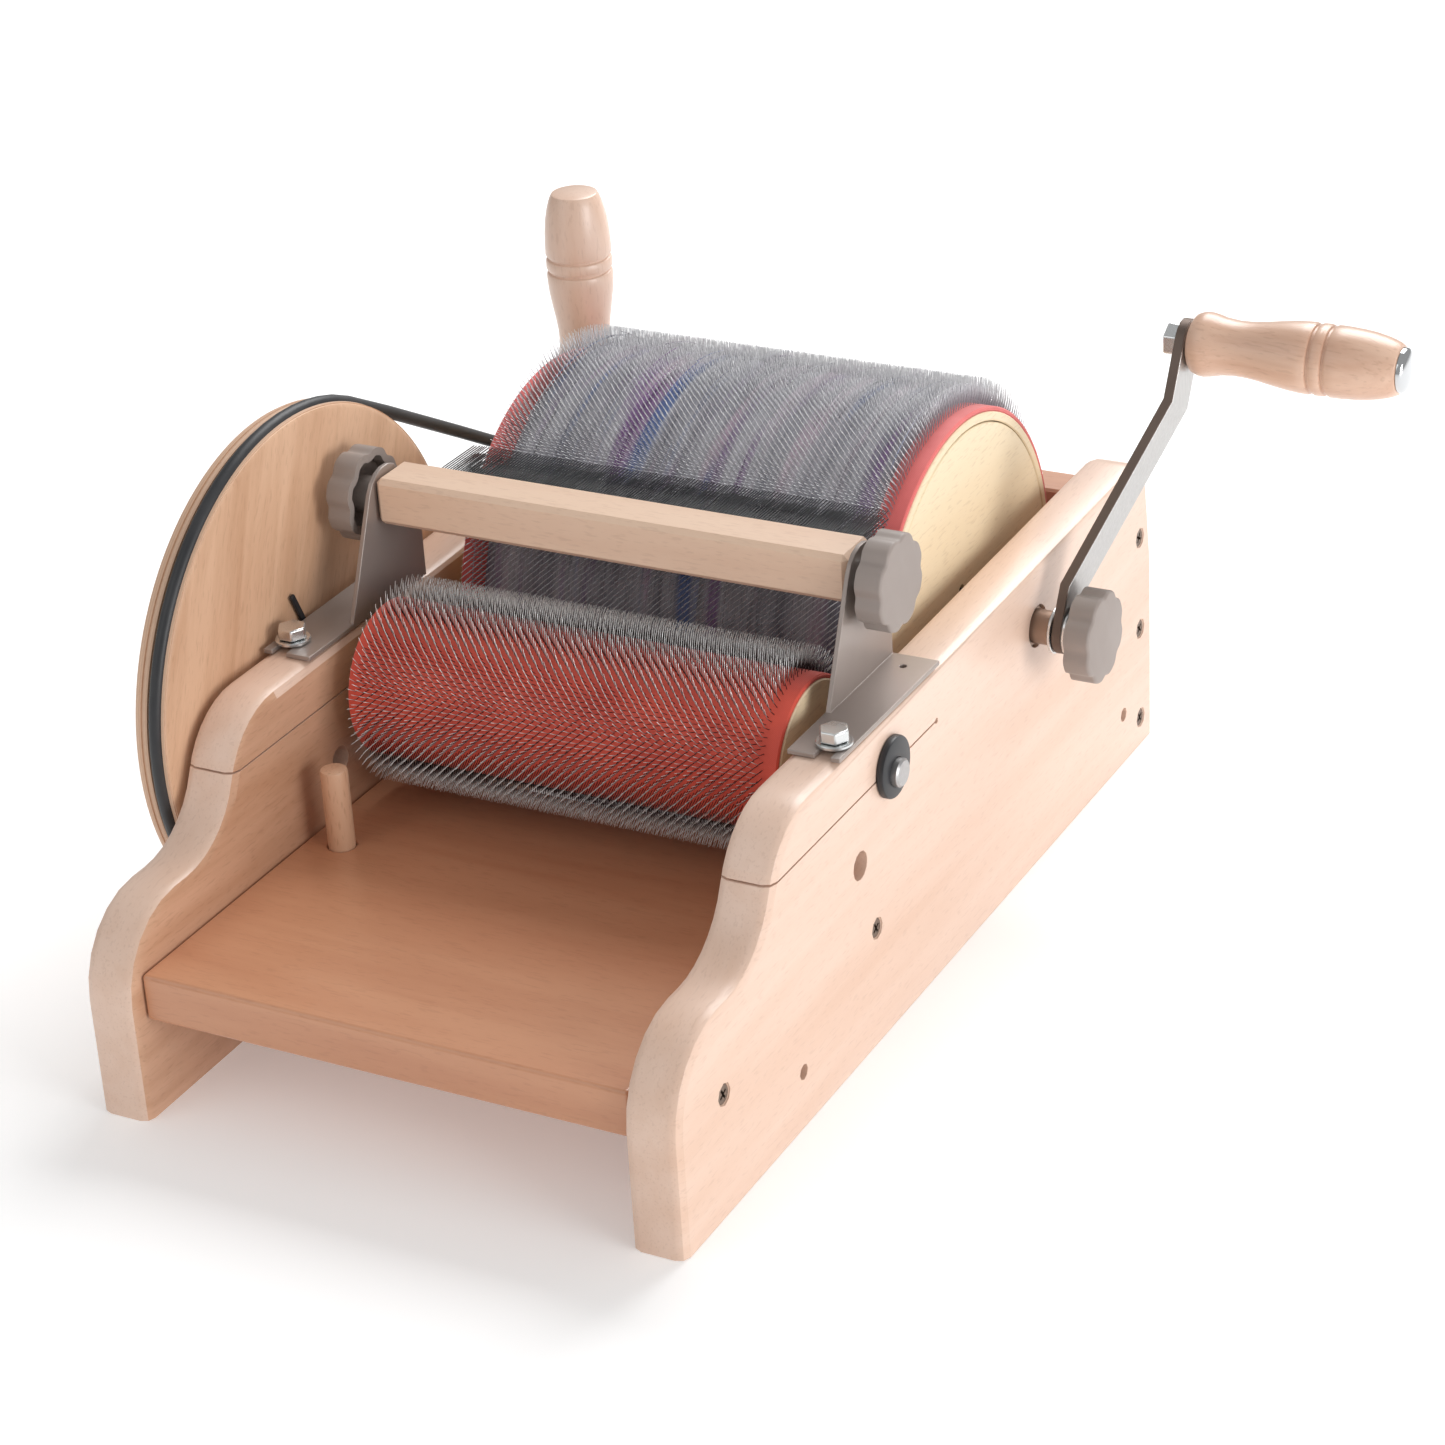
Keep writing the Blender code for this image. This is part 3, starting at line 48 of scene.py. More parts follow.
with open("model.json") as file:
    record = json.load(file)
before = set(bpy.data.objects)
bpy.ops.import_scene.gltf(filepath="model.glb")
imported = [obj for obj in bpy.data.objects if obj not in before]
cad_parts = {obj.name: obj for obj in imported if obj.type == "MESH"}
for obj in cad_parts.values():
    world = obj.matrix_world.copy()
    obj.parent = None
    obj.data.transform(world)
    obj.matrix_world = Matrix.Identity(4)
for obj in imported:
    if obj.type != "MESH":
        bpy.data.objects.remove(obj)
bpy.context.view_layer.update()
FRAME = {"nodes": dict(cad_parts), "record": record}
BODY_OF = {node: body for body, nodes in FRAME["record"]["behaviour"]["bodies"].items() for node in nodes}
FINISHES = {}

MERGE = 1e-6
FLAT_JOIN = math.radians(1.0)
QUAD_JOIN = math.radians(40.0)
SHARP = math.radians(32.0)
FULL_TURN = 2 * math.pi
ROUND_STEPS = 96
FINE_STEPS = 48


# ---- sizes and colours a user may change ----------------------------------------------------------
def metres(name, description, default):
    return FloatProperty(name=name, description=description, default=default, min=0.0, subtype="DISTANCE",
                         unit="LENGTH", precision=5)


def colour(name, description, default):
    return FloatVectorProperty(name=name, description=description, default=default, size=3, min=0.0,
                               max=1.0, subtype="COLOR")


def count(name, description, default, least):
    return IntProperty(name=name, description=description, default=default, min=least)


class CarderSizes(bpy.types.PropertyGroup):
    """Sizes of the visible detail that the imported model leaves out."""

    edge_softness: metres("Edge softness", "Rounding on the edges of sawn wood", 0.0007)
    metal_edge: metres("Metal edge", "Rounding on the edges of metal parts", 0.0003)
    wire_thickness: metres("Wire thickness", "Width of one carding wire", 0.00040)
    large_wire: metres("Large drum wire", "Height of the wires on the large drum", 0.0115)
    small_wire: metres("Small drum wire", "Height of the wires on the small drum", 0.0105)
    large_cloth: metres("Large drum cloth", "Thickness of the large drum's foundation cloth", 0.0022)
    small_cloth: metres("Small drum cloth", "Thickness of the small drum's foundation cloth", 0.0020)
    large_columns: count("Large drum columns", "Pairs of wire rings along the large drum", 64, 2)
    small_columns: count("Small drum columns", "Pairs of wire rings along the small drum", 48, 2)
    large_ring: count("Large drum ring", "Wires in one ring of the large drum", 224, 8)
    small_ring: count("Small drum ring", "Wires in one ring of the small drum", 64, 8)
    bristle_columns: count("Bristle columns", "Bristles along the brush", 150, 8)
    knob_lobes: count("Knob lobes", "Lobes round a clamping knob", 8, 3)


class CarderColours(bpy.types.PropertyGroup):
    """Main colours of the finishes."""

    beech: colour("Beech", "Lacquered beech of the panels", (0.79, 0.58, 0.465))
    beech_dark: colour("Beech grain", "Darker grain of the beech", (0.67, 0.42, 0.29))
    tray: colour("Tray", "Warmer wood of the tray and the boards", (0.62, 0.30, 0.165))
    tray_dark: colour("Tray grain", "Darker grain of the tray", (0.49, 0.195, 0.095))
    wheel: colour("Wheel", "Plywood face of the belt wheel", (0.72, 0.46, 0.30))
    wheel_dark: colour("Wheel grain", "Darker grain of the belt wheel", (0.55, 0.31, 0.18))
    drum_end: colour("Drum end", "Pale wood of the drum ends", (0.88, 0.74, 0.52))
    cloth: colour("Cloth", "Red foundation cloth of the card clothing", (0.84, 0.10, 0.055))
    cloth_pink: colour("Large drum cloth", "Pinker foundation cloth on the large drum", (0.80, 0.16, 0.15))
    taupe: colour("Taupe", "Paint and plastic of the brackets and knobs", (0.31, 0.26, 0.235))
    black: colour("Black", "Belt, bushes and pulleys", (0.018, 0.019, 0.022))


def sizes():
    return bpy.context.scene.carder_sizes


def colours():
    return bpy.context.scene.carder_colours


# ---- shader building ------------------------------------------------------------------------------
class Shading:
    """A node tree with short ways to add and join its nodes."""

    def __init__(self, tree):
        self.tree = tree

    def add(self, kind, values=None, **settings):
        node = self.tree.nodes.new(kind)
        for key, value in settings.items():
            setattr(node, key, value)
        for key, value in (values or {}).items():
            self.feed(value, node.inputs[key])
        return node

    def feed(self, value, socket):
        if isinstance(value, bpy.types.NodeSocket):
            self.tree.links.new(value, socket)
        elif hasattr(value, "__len__") and len(value) == 3 and socket.type == "RGBA":
            socket.default_value = (*value, 1.0)
        else:
            socket.default_value = value

    def math(self, operation, *values):
        node = self.add("ShaderNodeMath", operation=operation)
        for value, socket in zip(values, node.inputs):
            self.feed(value, socket)
        return node.outputs[0]

    def vector(self, operation, first, second):
        node = self.add("ShaderNodeVectorMath", {0: first, 1: second}, operation=operation)
        return node.outputs[0]

    def mix(self, factor, first, second, blend="MIX"):
        node = self.add("ShaderNodeMix", data_type="RGBA", blend_type=blend)
        for value, socket in zip((factor, first, second), (node.inputs[0], node.inputs[6], node.inputs[7])):
            self.feed(value, socket)
        return node.outputs[2]

    def noise(self, vector, scale, detail=2.0, roughness=0.5, distortion=0.0):
        values = {"Vector": vector, "Scale": scale, "Detail": detail, "Roughness": roughness,
                  "Distortion": distortion}
        return self.add("ShaderNodeTexNoise", values).outputs[0]

    def ramp(self, value, low, high, from_value=0.0, to_value=1.0):
        values = {"Value": value, "From Min": low, "From Max": high, "To Min": from_value,
                  "To Max": to_value}
        return self.add("ShaderNodeMapRange", values, clamp=True).outputs[0]

    def group(self, name, values):
        return self.add("ShaderNodeGroup", values, node_tree=bpy.data.node_groups[name]).outputs

    def put(self, name, value):
        self.feed(value, self.tree.nodes["Principled BSDF"].inputs[name])

    def bump(self, height, strength, distance):
        values = {"Height": height, "Strength": strength, "Distance": distance}
        self.put("Normal", self.add("ShaderNodeBump", values).outputs[0])


def new_group(name, inputs, outputs):
    """A node group: inputs map names to defaults, None for a vector; the output named Color is a colour."""
    tree = bpy.data.node_groups.new(name, "ShaderNodeTree")
    for label, default in inputs.items():
        kind = "Vector" if default is None else "Float" if isinstance(default, float) else "Color"
        socket = tree.interface.new_socket(label, in_out="INPUT", socket_type=f"NodeSocket{kind}")
        if default is not None:
            socket.default_value = default
    for label in outputs:
        kind = "Color" if label == "Color" else "Float"
        tree.interface.new_socket(label, in_out="OUTPUT", socket_type=f"NodeSocket{kind}")
    return Shading(tree), tree.nodes.new("NodeGroupInput").outputs, tree.nodes.new("NodeGroupOutput").inputs


def wood_figure_group():
    """Growth lines, flecks and slow colour drift of lacquered wood; X of the vector runs with the grain."""
    inputs = {"Vector": None, "Light": (0.8, 0.6, 0.4, 1), "Dark": (0.6, 0.4, 0.3, 1), "Line Scale": 60.0,
              "Line Strength": 0.5, "Fleck Strength": 0.3, "Gloss": 0.4}
    s, given, made = new_group("wood figure", inputs, ("Color", "Roughness", "Height"))
    drawn = s.vector("MULTIPLY", given["Vector"], (0.09, 1.0, 1.0))
    lines = s.noise(drawn, given["Line Scale"], 4.0, 0.62, 0.35)
    drift = s.noise(drawn, 9.0, 2.0)
    fleck_place = s.vector("MULTIPLY", given["Vector"], (0.16, 1.0, 1.0))
    flecks = s.ramp(s.noise(fleck_place, 950.0, 1.0), 0.57, 0.70)
    figure = s.math("MULTIPLY", s.ramp(lines, 0.36, 0.70), given["Line Strength"])
    figure = s.math("ADD", figure, s.ramp(drift, 0.35, 0.75, -0.10, 0.22))
    base = s.mix(figure, given["Light"], given["Dark"])
    fleck_share = s.math("MULTIPLY", flecks, given["Fleck Strength"])
    fleck_tint = s.mix(0.55, given["Dark"], (0.25, 0.12, 0.06), "MULTIPLY")
    s.feed(s.mix(fleck_share, base, fleck_tint), made["Color"])
    s.feed(s.math("ADD", given["Gloss"], s.ramp(drift, 0.3, 0.7, -0.04, 0.07)), made["Roughness"])
    s.feed(s.math("SUBTRACT", s.math("MULTIPLY", lines, 0.35), flecks), made["Height"])


def handling_group():
    """Soft smudges and tiny specks that vary a surface's gloss."""
    inputs = {"Vector": None, "Roughness": 0.4, "Smudge": 0.1, "Grain Scale": 900.0}
    s, given, made = new_group("handling", inputs, ("Roughness", "Mask", "Height"))
    smudge = s.noise(given["Vector"], 28.0, 3.0, 0.6)
    grain = s.noise(given["Vector"], given["Grain Scale"], 2.0, 0.5)
    change = s.math("MULTIPLY", s.math("SUBTRACT", smudge, 0.5), given["Smudge"])
    s.feed(s.math("ADD", given["Roughness"], change), made["Roughness"])
    s.feed(s.ramp(smudge, 0.35, 0.7), made["Mask"])
    s.feed(grain, made["Height"])


def fibre_streak_group():
    """Streaks that run round a drum: they change quickly along X and slowly round the rim."""
    masks = {"Purple": (0.00, 0.56, 0.70), "Blue": (3.1, 0.60, 0.72), "Pink": (7.3, 0.57, 0.72),
             "Shade": (11.9, 0.30, 0.72)}
    s, given, made = new_group("fibre streaks", {"Vector": None, "Streak Scale": 120.0}, masks)
    drawn = s.vector("MULTIPLY", given["Vector"], (1.0, 0.07, 0.07))
    for name, (shift, low, high) in masks.items():
        place = s.vector("ADD", drawn, (shift, shift, 0.0))
        s.feed(s.ramp(s.noise(place, given["Streak Scale"], 2.0, 0.6), low, high), made[name])


def new_finish(name):
    """An empty material, and the object coordinates of the piece."""
    material = FINISHES[name] = bpy.data.materials.new(name)
    material.use_nodes = True
    shading = Shading(material.node_tree)
    return shading, shading.add("ShaderNodeTexCoord").outputs["Object"]


def wood_finish(name, light, dark, turn, line_scale=60.0, lines=0.5, flecks=0.3, gloss=0.4, coat=0.25):
    """Lacquered wood; turn is the rotation, in degrees, that lays the grain along X."""
    s, place = new_finish(name)
    mapping = s.add("ShaderNodeMapping", {"Vector": place, "Rotation": [math.radians(a) for a in turn]})
    values = {"Vector": mapping.outputs[0], "Light": light, "Dark": dark, "Line Scale": line_scale,
              "Line Strength": lines, "Fleck Strength": flecks, "Gloss": gloss}
    figure = s.group("wood figure", values)
    s.put("Base Color", figure["Color"])
    s.put("Roughness", figure["Roughness"])
    s.put("Coat Weight", coat)
    s.put("Coat Roughness", 0.28)
    s.bump(figure["Height"], 0.22, 0.00008)


def ply_edge_finish(name, light, dark):
    """Sawn edge of plywood: thin layers stacked along X, light and dark in turn."""
    s, place = new_finish(name)
    layers = s.add("ShaderNodeTexWave", {"Vector": place, "Scale": 190.0, "Distortion": 0.25, "Detail": 1.0,
                                         "Detail Scale": 0.4}, wave_type="BANDS", bands_direction="X")
    mask = s.ramp(layers.outputs["Fac"], 0.25, 0.75)
    end_grain = s.noise(s.vector("MULTIPLY", place, (4.0, 1.0, 1.0)), 420.0, 2.0)
    tint = s.mix(s.math("MULTIPLY", mask, 0.5), light, dark)
    s.put("Base Color", s.mix(s.ramp(end_grain, 0.4, 0.75, 0.0, 0.35), tint, dark))
    handling = s.group("handling", {"Vector": place, "Roughness": 0.55, "Smudge": 0.15})
    s.put("Roughness", handling["Roughness"])
    s.bump(end_grain, 0.25, 0.0001)


def plain_finish(name, base, roughness, metallic=0.0, smudge=0.12, grain=900.0, bump_strength=0.1,
                 worn=None, worn_share=0.25, coat=0.0):
    """Paint, plastic, rubber or metal with smudged gloss and a faint second tone."""
    s, place = new_finish(name)
    values = {"Vector": place, "Roughness": roughness, "Smudge": smudge, "Grain Scale": grain}
    handling = s.group("handling", values)
    share = s.math("MULTIPLY", handling["Mask"], worn_share)
    s.put("Base Color", s.mix(share, base, worn or [c * 0.78 for c in base]))
    s.put("Roughness", handling["Roughness"])
    s.put("Metallic", metallic)
    s.put("Coat Weight", coat)
    s.bump(handling["Height"], bump_strength, 0.00006)


def brushed_finish(name, base, roughness, stretch, metallic=1.0):
    """Metal with fine lines drawn along one axis by rolling or turning."""
    s, place = new_finish(name)
    lines = s.noise(s.vector("MULTIPLY", place, stretch), 1400.0, 3.0, 0.7)
    handling = s.group("handling", {"Vector": place, "Roughness": roughness})
    s.put("Base Color", s.mix(s.ramp(lines, 0.3, 0.8, 0.0, 0.35), base, [c * 0.6 for c in base]))
    s.put("Roughness", s.math("ADD", handling["Roughness"], s.ramp(lines, 0.3, 0.7, -0.05, 0.1)))
    s.put("Metallic", metallic)
    s.bump(lines, 0.12, 0.00004)


def cloth_finish(name, base, dark):
    """Red foundation cloth: a fine twill, with darker patches at random."""
    s, place = new_finish(name)
    values = {"Vector": s.vector("MULTIPLY", place, (1.0, 1.3, 1.3)), "Scale": 520.0, "Distortion": 1.2,
              "Detail": 1.0}
    weave = s.add("ShaderNodeTexWave", values, wave_type="BANDS", bands_direction="DIAGONAL").outputs["Fac"]
    patches = s.noise(place, 55.0, 3.0)
    tint = s.mix(s.ramp(patches, 0.35, 0.75, 0.0, 0.45), base, dark)
    s.put("Base Color", s.mix(s.math("MULTIPLY", weave, 0.22), tint, dark))
    s.put("Roughness", s.ramp(patches, 0.2, 0.8, 0.5, 0.72))
    s.put("Sheen Weight", 0.25)
    s.bump(weave, 0.35, 0.0001)


def from_axis(shading, place, node, low, high):
    """Mask that grows from 0 to 1 between two distances from a round part's axis."""
    y, z = axis_of(node)
    centred = shading.add("ShaderNodeMapping", {"Vector": place, "Location": (0.0, -y, -z)})
    across = shading.vector("MULTIPLY", centred.outputs[0], (0.0, 1.0, 1.0))
    length = shading.add("ShaderNodeVectorMath", {0: across}, operation="LENGTH").outputs["Value"]
    return shading.ramp(length, low, high)


def streaked(s, streaks, tint, share, hues):
    """Lay the wool's coloured streaks over a tint."""
    for mask, hue in hues.items():
        tint = s.mix(s.math("MULTIPLY", streaks[mask], share), tint, hue)
    return tint


def wire_finish(name, drum, reach, root, tip_steel_and_painted_light, shade, streak_share):
    """Steel carding wire: dark at the foot as painted shade, partly oil and dirt, bright at the tip as
    painted light, tinted by the wool between the wires.
    """
    s, place = new_finish(name)
    streaks = s.group("fibre streaks", {"Vector": place, "Streak Scale": 120.0})
    tint = s.mix(s.math("MULTIPLY", streaks["Shade"], 0.75), tip_steel_and_painted_light, shade)
    hues = {"Purple": (0.22, 0.10, 0.27), "Blue": (0.07, 0.12, 0.30), "Pink": (0.66, 0.44, 0.55)}
    tint = streaked(s, streaks, tint, streak_share, hues)
    tip = reach_of(f"{drum}_cloth")
    height = from_axis(s, place, f"{drum}_cloth", tip - reach, tip - 0.0006)
    # Painted shade at the foot of each wire, partly oil and dirt, giving way to steel at the tip that is
    # brightened as painted light.
    s.put("Base Color", s.mix(height, root, tint))
    s.put("Roughness", s.ramp(height, 0.0, 1.0, 0.55, 0.28))
    s.put("Metallic", 0.4)


def wool_finish(name):
    """Combed wool packed between the wires, in streaks of grey, purple, blue and pink."""
    s, place = new_finish(name)
    streaks = s.group("fibre streaks", {"Vector": place, "Streak Scale": 85.0})
    tint = s.mix(streaks["Shade"], (0.60, 0.59, 0.63), (0.21, 0.21, 0.25))
    hues = {"Purple": (0.26, 0.09, 0.33), "Blue": (0.05, 0.14, 0.42), "Pink": (0.70, 0.52, 0.62)}
    tint = streaked(s, streaks, tint, 0.8, hues)
    fibres = s.noise(s.vector("MULTIPLY", place, (1.0, 0.05, 0.05)), 1600.0, 3.0, 0.7)
    s.put("Base Color", s.mix(s.ramp(fibres, 0.35, 0.75, 0.0, 0.5), tint, (0.03, 0.03, 0.04)))
    s.put("Roughness", s.ramp(fibres, 0.2, 0.8, 0.7, 0.9))
    s.put("Sheen Weight", 0.2)
    s.bump(fibres, 0.6, 0.0003)


def make_finishes():
    c = colours()
    wood_figure_group()
    handling_group()
    fibre_streak_group()
    wood_finish("panel beech", c.beech, c.beech_dark, (0, 0, 90), 55.0, 0.45, 0.16, 0.36, 0.3)
    # Inner faces of the panels: the beech made darker and redder as painted shade and a painted reflection of
    # the red drum, with stronger grain lines.
    wood_finish("panel inside", (0.68, 0.42, 0.28), (0.47, 0.24, 0.13), (0, 0, 90), 60.0, 0.7, 0.2, 0.38, 0.3)
    wood_finish("grip beech", (0.74, 0.50, 0.37), (0.58, 0.33, 0.22), (0, 0, 8), 85.0, 0.75, 0.2, 0.34, 0.4)
    wood_finish("bar beech", (0.78, 0.56, 0.41), c.beech_dark, (0, 0, 0), 60.0, 0.45, 0.16, 0.38, 0.3)
    wood_finish("awl beech", c.beech, c.beech_dark, (0, 90, 0), 70.0, 0.5, 0.16, 0.34, 0.4)
    wood_finish("tray wood", c.tray, c.tray_dark, (0, 0, 0), 42.0, 0.6, 0.14, 0.30, 0.4)
    wood_finish("peg wood", c.wheel, c.tray, (0, 90, 0), 70.0, 0.4, 0.3, 0.42, 0.2)
    wood_finish("wheel face", c.wheel, c.wheel_dark, (-68, 0, -90), 75.0, 0.8, 0.2, 0.42, 0.2)
    wood_finish("drum end board", c.drum_end, (0.74, 0.54, 0.31), (0, 35, 90), 26.0, 0.35, 0.2, 0.5, 0.1)
    ply_edge_finish("wheel edge", (0.74, 0.50, 0.35), (0.56, 0.34, 0.22))
    cloth_finish("small drum cloth", c.cloth, (0.42, 0.035, 0.03))
    cloth_finish("large drum cloth", c.cloth_pink, (0.50, 0.06, 0.06))
    # The root colours darken the foot of each wire as painted shade between the wires, partly oil and dirt;
    # the near-white tip colours are brightened as painted light.
    wire_finish("small drum wire", "licker", 0.0072, (0.018, 0.006, 0.005), (1.0, 1.0, 0.99),
                (0.82, 0.80, 0.79), 0.0)
    wire_finish("large drum wire", "swift", 0.0090, (0.32, 0.31, 0.34), (1.0, 1.0, 1.0),
                (0.80, 0.80, 0.83), 0.28)
    wool_finish("packed wool")
    plain_finish("knob plastic", c.taupe, 0.48, smudge=0.16, grain=1500.0, bump_strength=0.18)
    plain_finish("bracket paint", [v * 1.12 for v in c.taupe], 0.36, 0.35, smudge=0.12, grain=1100.0,
                 coat=0.15)
    plain_finish("belt rubber", c.black, 0.46, smudge=0.2, grain=700.0, bump_strength=0.25,
                 worn=(0.06, 0.06, 0.062), worn_share=0.5)
    plain_finish("black plastic", c.black, 0.40, smudge=0.18, grain=1300.0)
    plain_finish("bristle", (0.010, 0.010, 0.011), 0.30, smudge=0.2, worn=(0.05, 0.05, 0.05),
                 worn_share=0.3)
    plain_finish("zinc", (0.72, 0.73, 0.74), 0.26, 1.0, smudge=0.18, grain=500.0, worn=(0.62, 0.66, 0.60))
    plain_finish("chrome", (0.66, 0.67, 0.68), 0.10, 1.0, smudge=0.08)
    plain_finish("dark screw", (0.17, 0.12, 0.09), 0.38, 0.9, smudge=0.2, worn=(0.34, 0.27, 0.22))
    plain_finish("bronze", (0.36, 0.25, 0.19), 0.42, 0.75, smudge=0.2)
    brushed_finish("turned steel", (0.50, 0.49, 0.49), 0.40, (1.0, 0.2, 0.2))
    brushed_finish("arm steel", (0.56, 0.55, 0.54), 0.38, (1.0, 1.0, 0.05), 0.9)
    plain_finish("arm edge", (0.16, 0.12, 0.10), 0.5, 0.7, smudge=0.2)


# ---- mesh helpers ---------------------------------------------------------------------------------
def axis_of(node):
    """Y and Z of a round part whose axis runs along X."""
    low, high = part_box(node)
    return (low.y + high.y) / 2, (low.z + high.z) / 2


def reach_of(node):
    """Outer radius of a round part whose axis runs along X."""
    low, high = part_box(node)
    return (high.z - low.z) / 2


def bore_of(node):
    """Smallest distance of a round part's points from its axis along X."""
    y, z = axis_of(node)
    return min(math.hypot(v.co.y - y, v.co.z - z) for v in FRAME["nodes"][node].data.vertices)


def merged_copy(node, flatten=True):
    """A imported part's shape with its loose triangles joined up."""
    bm = bmesh.new()
    bm.from_mesh(FRAME["nodes"][node].data)
    bmesh.ops.remove_doubles(bm, verts=bm.verts, dist=MERGE)
    if flatten:
        bmesh.ops.dissolve_limit(bm, angle_limit=FLAT_JOIN, verts=bm.verts, edges=bm.edges)
    else:
        bmesh.ops.join_triangles(bm, faces=bm.faces, angle_face_threshold=QUAD_JOIN,
                                 angle_shape_threshold=math.pi)
    return bm


def vertices_in(geom):
    return [part for part in geom if isinstance(part, bmesh.types.BMVert)]


def joined_to(verts, kind):
    """Edges ("link_edges") or faces ("link_faces") that hold the vertices, in the same order each run."""
    return list(dict.fromkeys(part for vert in verts for part in getattr(vert, kind)))


def extrude_faces(bm, faces):
    """Extrude faces in place and give their new vertices."""
    return vertices_in(bmesh.ops.extrude_face_region(bm, geom=faces)["geom"])


def extrude_loop(bm, edges):
    """Extrude a loop of edges in place and give its new vertices and edges."""
    grown = bmesh.ops.extrude_edge_only(bm, edges=edges)["geom"]
    ends = vertices_in(grown)
    rim = [part for part in grown
           if isinstance(part, bmesh.types.BMEdge) and all(vert in ends for vert in part.verts)]
    return ends, rim


def face_outwards(bm):
    bmesh.ops.recalc_face_normals(bm, faces=bm.faces)


def placed(name, data):
    """A new object in the scene."""
    item = bpy.data.objects.new(name, data)
    bpy.context.scene.collection.objects.link(item)
    return item


def upright(node):
    """Turn that stands a shape along X upright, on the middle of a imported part."""
    low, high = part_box(node)
    middle = Vector(((low.x + high.x) / 2, (low.y + high.y) / 2, 0.0))
    return Matrix.Translation(middle) @ Matrix.Rotation(-math.pi / 2, 4, "Y")


def mesh_from(bm, name, sharp=SHARP):
    mesh = bpy.data.meshes.new(name)
    bm.to_mesh(mesh)
    bm.free()
    mesh.shade_smooth()
    mesh.set_sharp_from_angle(angle=sharp)
    return mesh


def show(name, bm, finishes, nodes=(), body=None, sharp=SHARP):
    """Make a piece from a mesh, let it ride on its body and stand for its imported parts."""
    mesh = mesh_from(bm, name, sharp)
    for finish in [finishes] if isinstance(finishes, str) else finishes:
        mesh.materials.append(FINISHES[finish])
    piece = placed(name, mesh)
    nodes = [nodes] if isinstance(nodes, str) else list(nodes)
    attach(piece, body or BODY_OF[nodes[0]])
    if nodes:
        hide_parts(*nodes)
    return piece


def soften(piece, width):
    """Round the sharp edges of a piece and even out its shading."""
    bevel = piece.modifiers.new("soft edges", "BEVEL")
    bevel.width = width
    bevel.segments = 2
    bevel.limit_method = "ANGLE"
    bevel.angle_limit = SHARP
    bevel.miter_outer = "MITER_ARC"
    normals = piece.modifiers.new("even shading", "WEIGHTED_NORMAL")
    normals.keep_sharp = True


def dress(node, finish, width):
    """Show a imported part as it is, with softened edges."""
    soften(show(f"{node}_made", merged_copy(node), finish, node), width)


def spun(profile, centre, steps=FINE_STEPS, closed=True):
    """Turn (x, radius) points about an axis along X through centre (y, z)."""
    bm = bmesh.new()
    y, z = centre
    verts = [bm.verts.new((x, y, z + radius)) for x, radius in profile]
    edges = [bm.edges.new(pair) for pair in zip(verts, verts[1:])]
    if closed:
        edges.append(bm.edges.new((verts[-1], verts[0])))
    bmesh.ops.spin(bm, geom=verts + edges, cent=(0, y, z), axis=(1, 0, 0), angle=FULL_TURN, steps=steps,
                   use_merge=True)
    bmesh.ops.remove_doubles(bm, verts=bm.verts, dist=MERGE)
    face_outwards(bm)
    return bm


def soft_ring(x0, x1, inner, outer, edge):
    """Profile of a washer or disc with a small chamfer at each corner."""
    return [(x0, inner + edge), (x0, outer - edge), (x0 + edge, outer), (x1 - edge, outer),
            (x1, outer - edge), (x1, inner + edge), (x1 - edge, inner), (x0 + edge, inner)]


def crowned(face, radius, soft, toward=1):
    """Profile points of a rounded edge between a rim and a face that looks along X."""
    return [(face - toward * soft, radius), (face - toward * soft * 0.3, radius - soft * 0.35),
            (face, radius - soft)]


def plug(x0, x1, radius):
    """Profile of a plain solid rod."""
    return [(x0, 0.0), (x0, radius), (x1, radius), (x1, 0.0)]


def carve(bm, *cutters):
    """Take cutter shapes out of a mesh with an exact Boolean."""
    helpers = []
    for shape in (bm, *cutters):
        helpers.append(placed("carving", bpy.data.meshes.new("carving")))
        shape.to_mesh(helpers[-1].data)
        shape.free()
    target = helpers[0]
    for helper in helpers[1:]:
        modifier = target.modifiers.new("cut", "BOOLEAN")
        modifier.object = helper
        modifier.solver = "EXACT"
    bpy.context.view_layer.update()
    carved = bmesh.new()
    carved.from_object(target, bpy.context.evaluated_depsgraph_get())
    for helper in helpers:
        mesh = helper.data
        bpy.data.objects.remove(helper)
        bpy.data.meshes.remove(mesh)
    return carved


def split_by_facing(bm, limit=0.5):
    """Give faces that look away from the X axis the second finish."""
    bm.normal_update()
    for face in bm.faces:
        face.material_index = 0 if abs(face.normal.x) > limit else 1


# ---- operators, one for each group of pieces --------------------------------------------------------
class CARDER_OT_finishes(bpy.types.Operator):
    """Make every finish from the chosen colours"""

    bl_idname = "carder.finishes"
    bl_label = "Finishes"

    def execute(self, context):
        make_finishes()
        return {"FINISHED"}


class CARDER_OT_woodwork(bpy.types.Operator):
    """Side panels, tray board, rear board and tray peg"""

    bl_idname = "carder.woodwork"
    bl_label = "Woodwork"

    inside_limit = 0.9

    def execute(self, context):
        soft = sizes().edge_softness
        for side, inward in (("left", 1), ("right", -1)):
            node = f"side_panel_{side}"
            bm = merged_copy(node)
            bm.normal_update()
            # Faces that look into the machine take the inner finish: the beech darkened and reddened as
            # painted shade and a painted reflection of the red drum.
            for face in bm.faces:
                face.material_index = 1 if face.normal.x * inward > self.inside_limit else 0
            soften(show(f"{node}_made", bm, ("panel beech", "panel inside"), node), soft / 2)
        dress("base_board", "tray wood", soft)
        dress("rear_board", "tray wood", soft)
        low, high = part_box("tray_peg")
        radius = (high.x - low.x) / 2
        profile = [(low.z, 0.0), (low.z, radius), (high.z - soft * 2, radius),
                   (high.z - soft / 2, radius - soft / 2), (high.z, radius - soft * 2), (high.z, 0.0)]
        bm = spun(profile, (0.0, 0.0), closed=False)
        bmesh.ops.transform(bm, matrix=upright("tray_peg"), verts=bm.verts)
        show("tray_peg_turned", bm, "peg wood", "tray_peg")
        return {"FINISHED"}


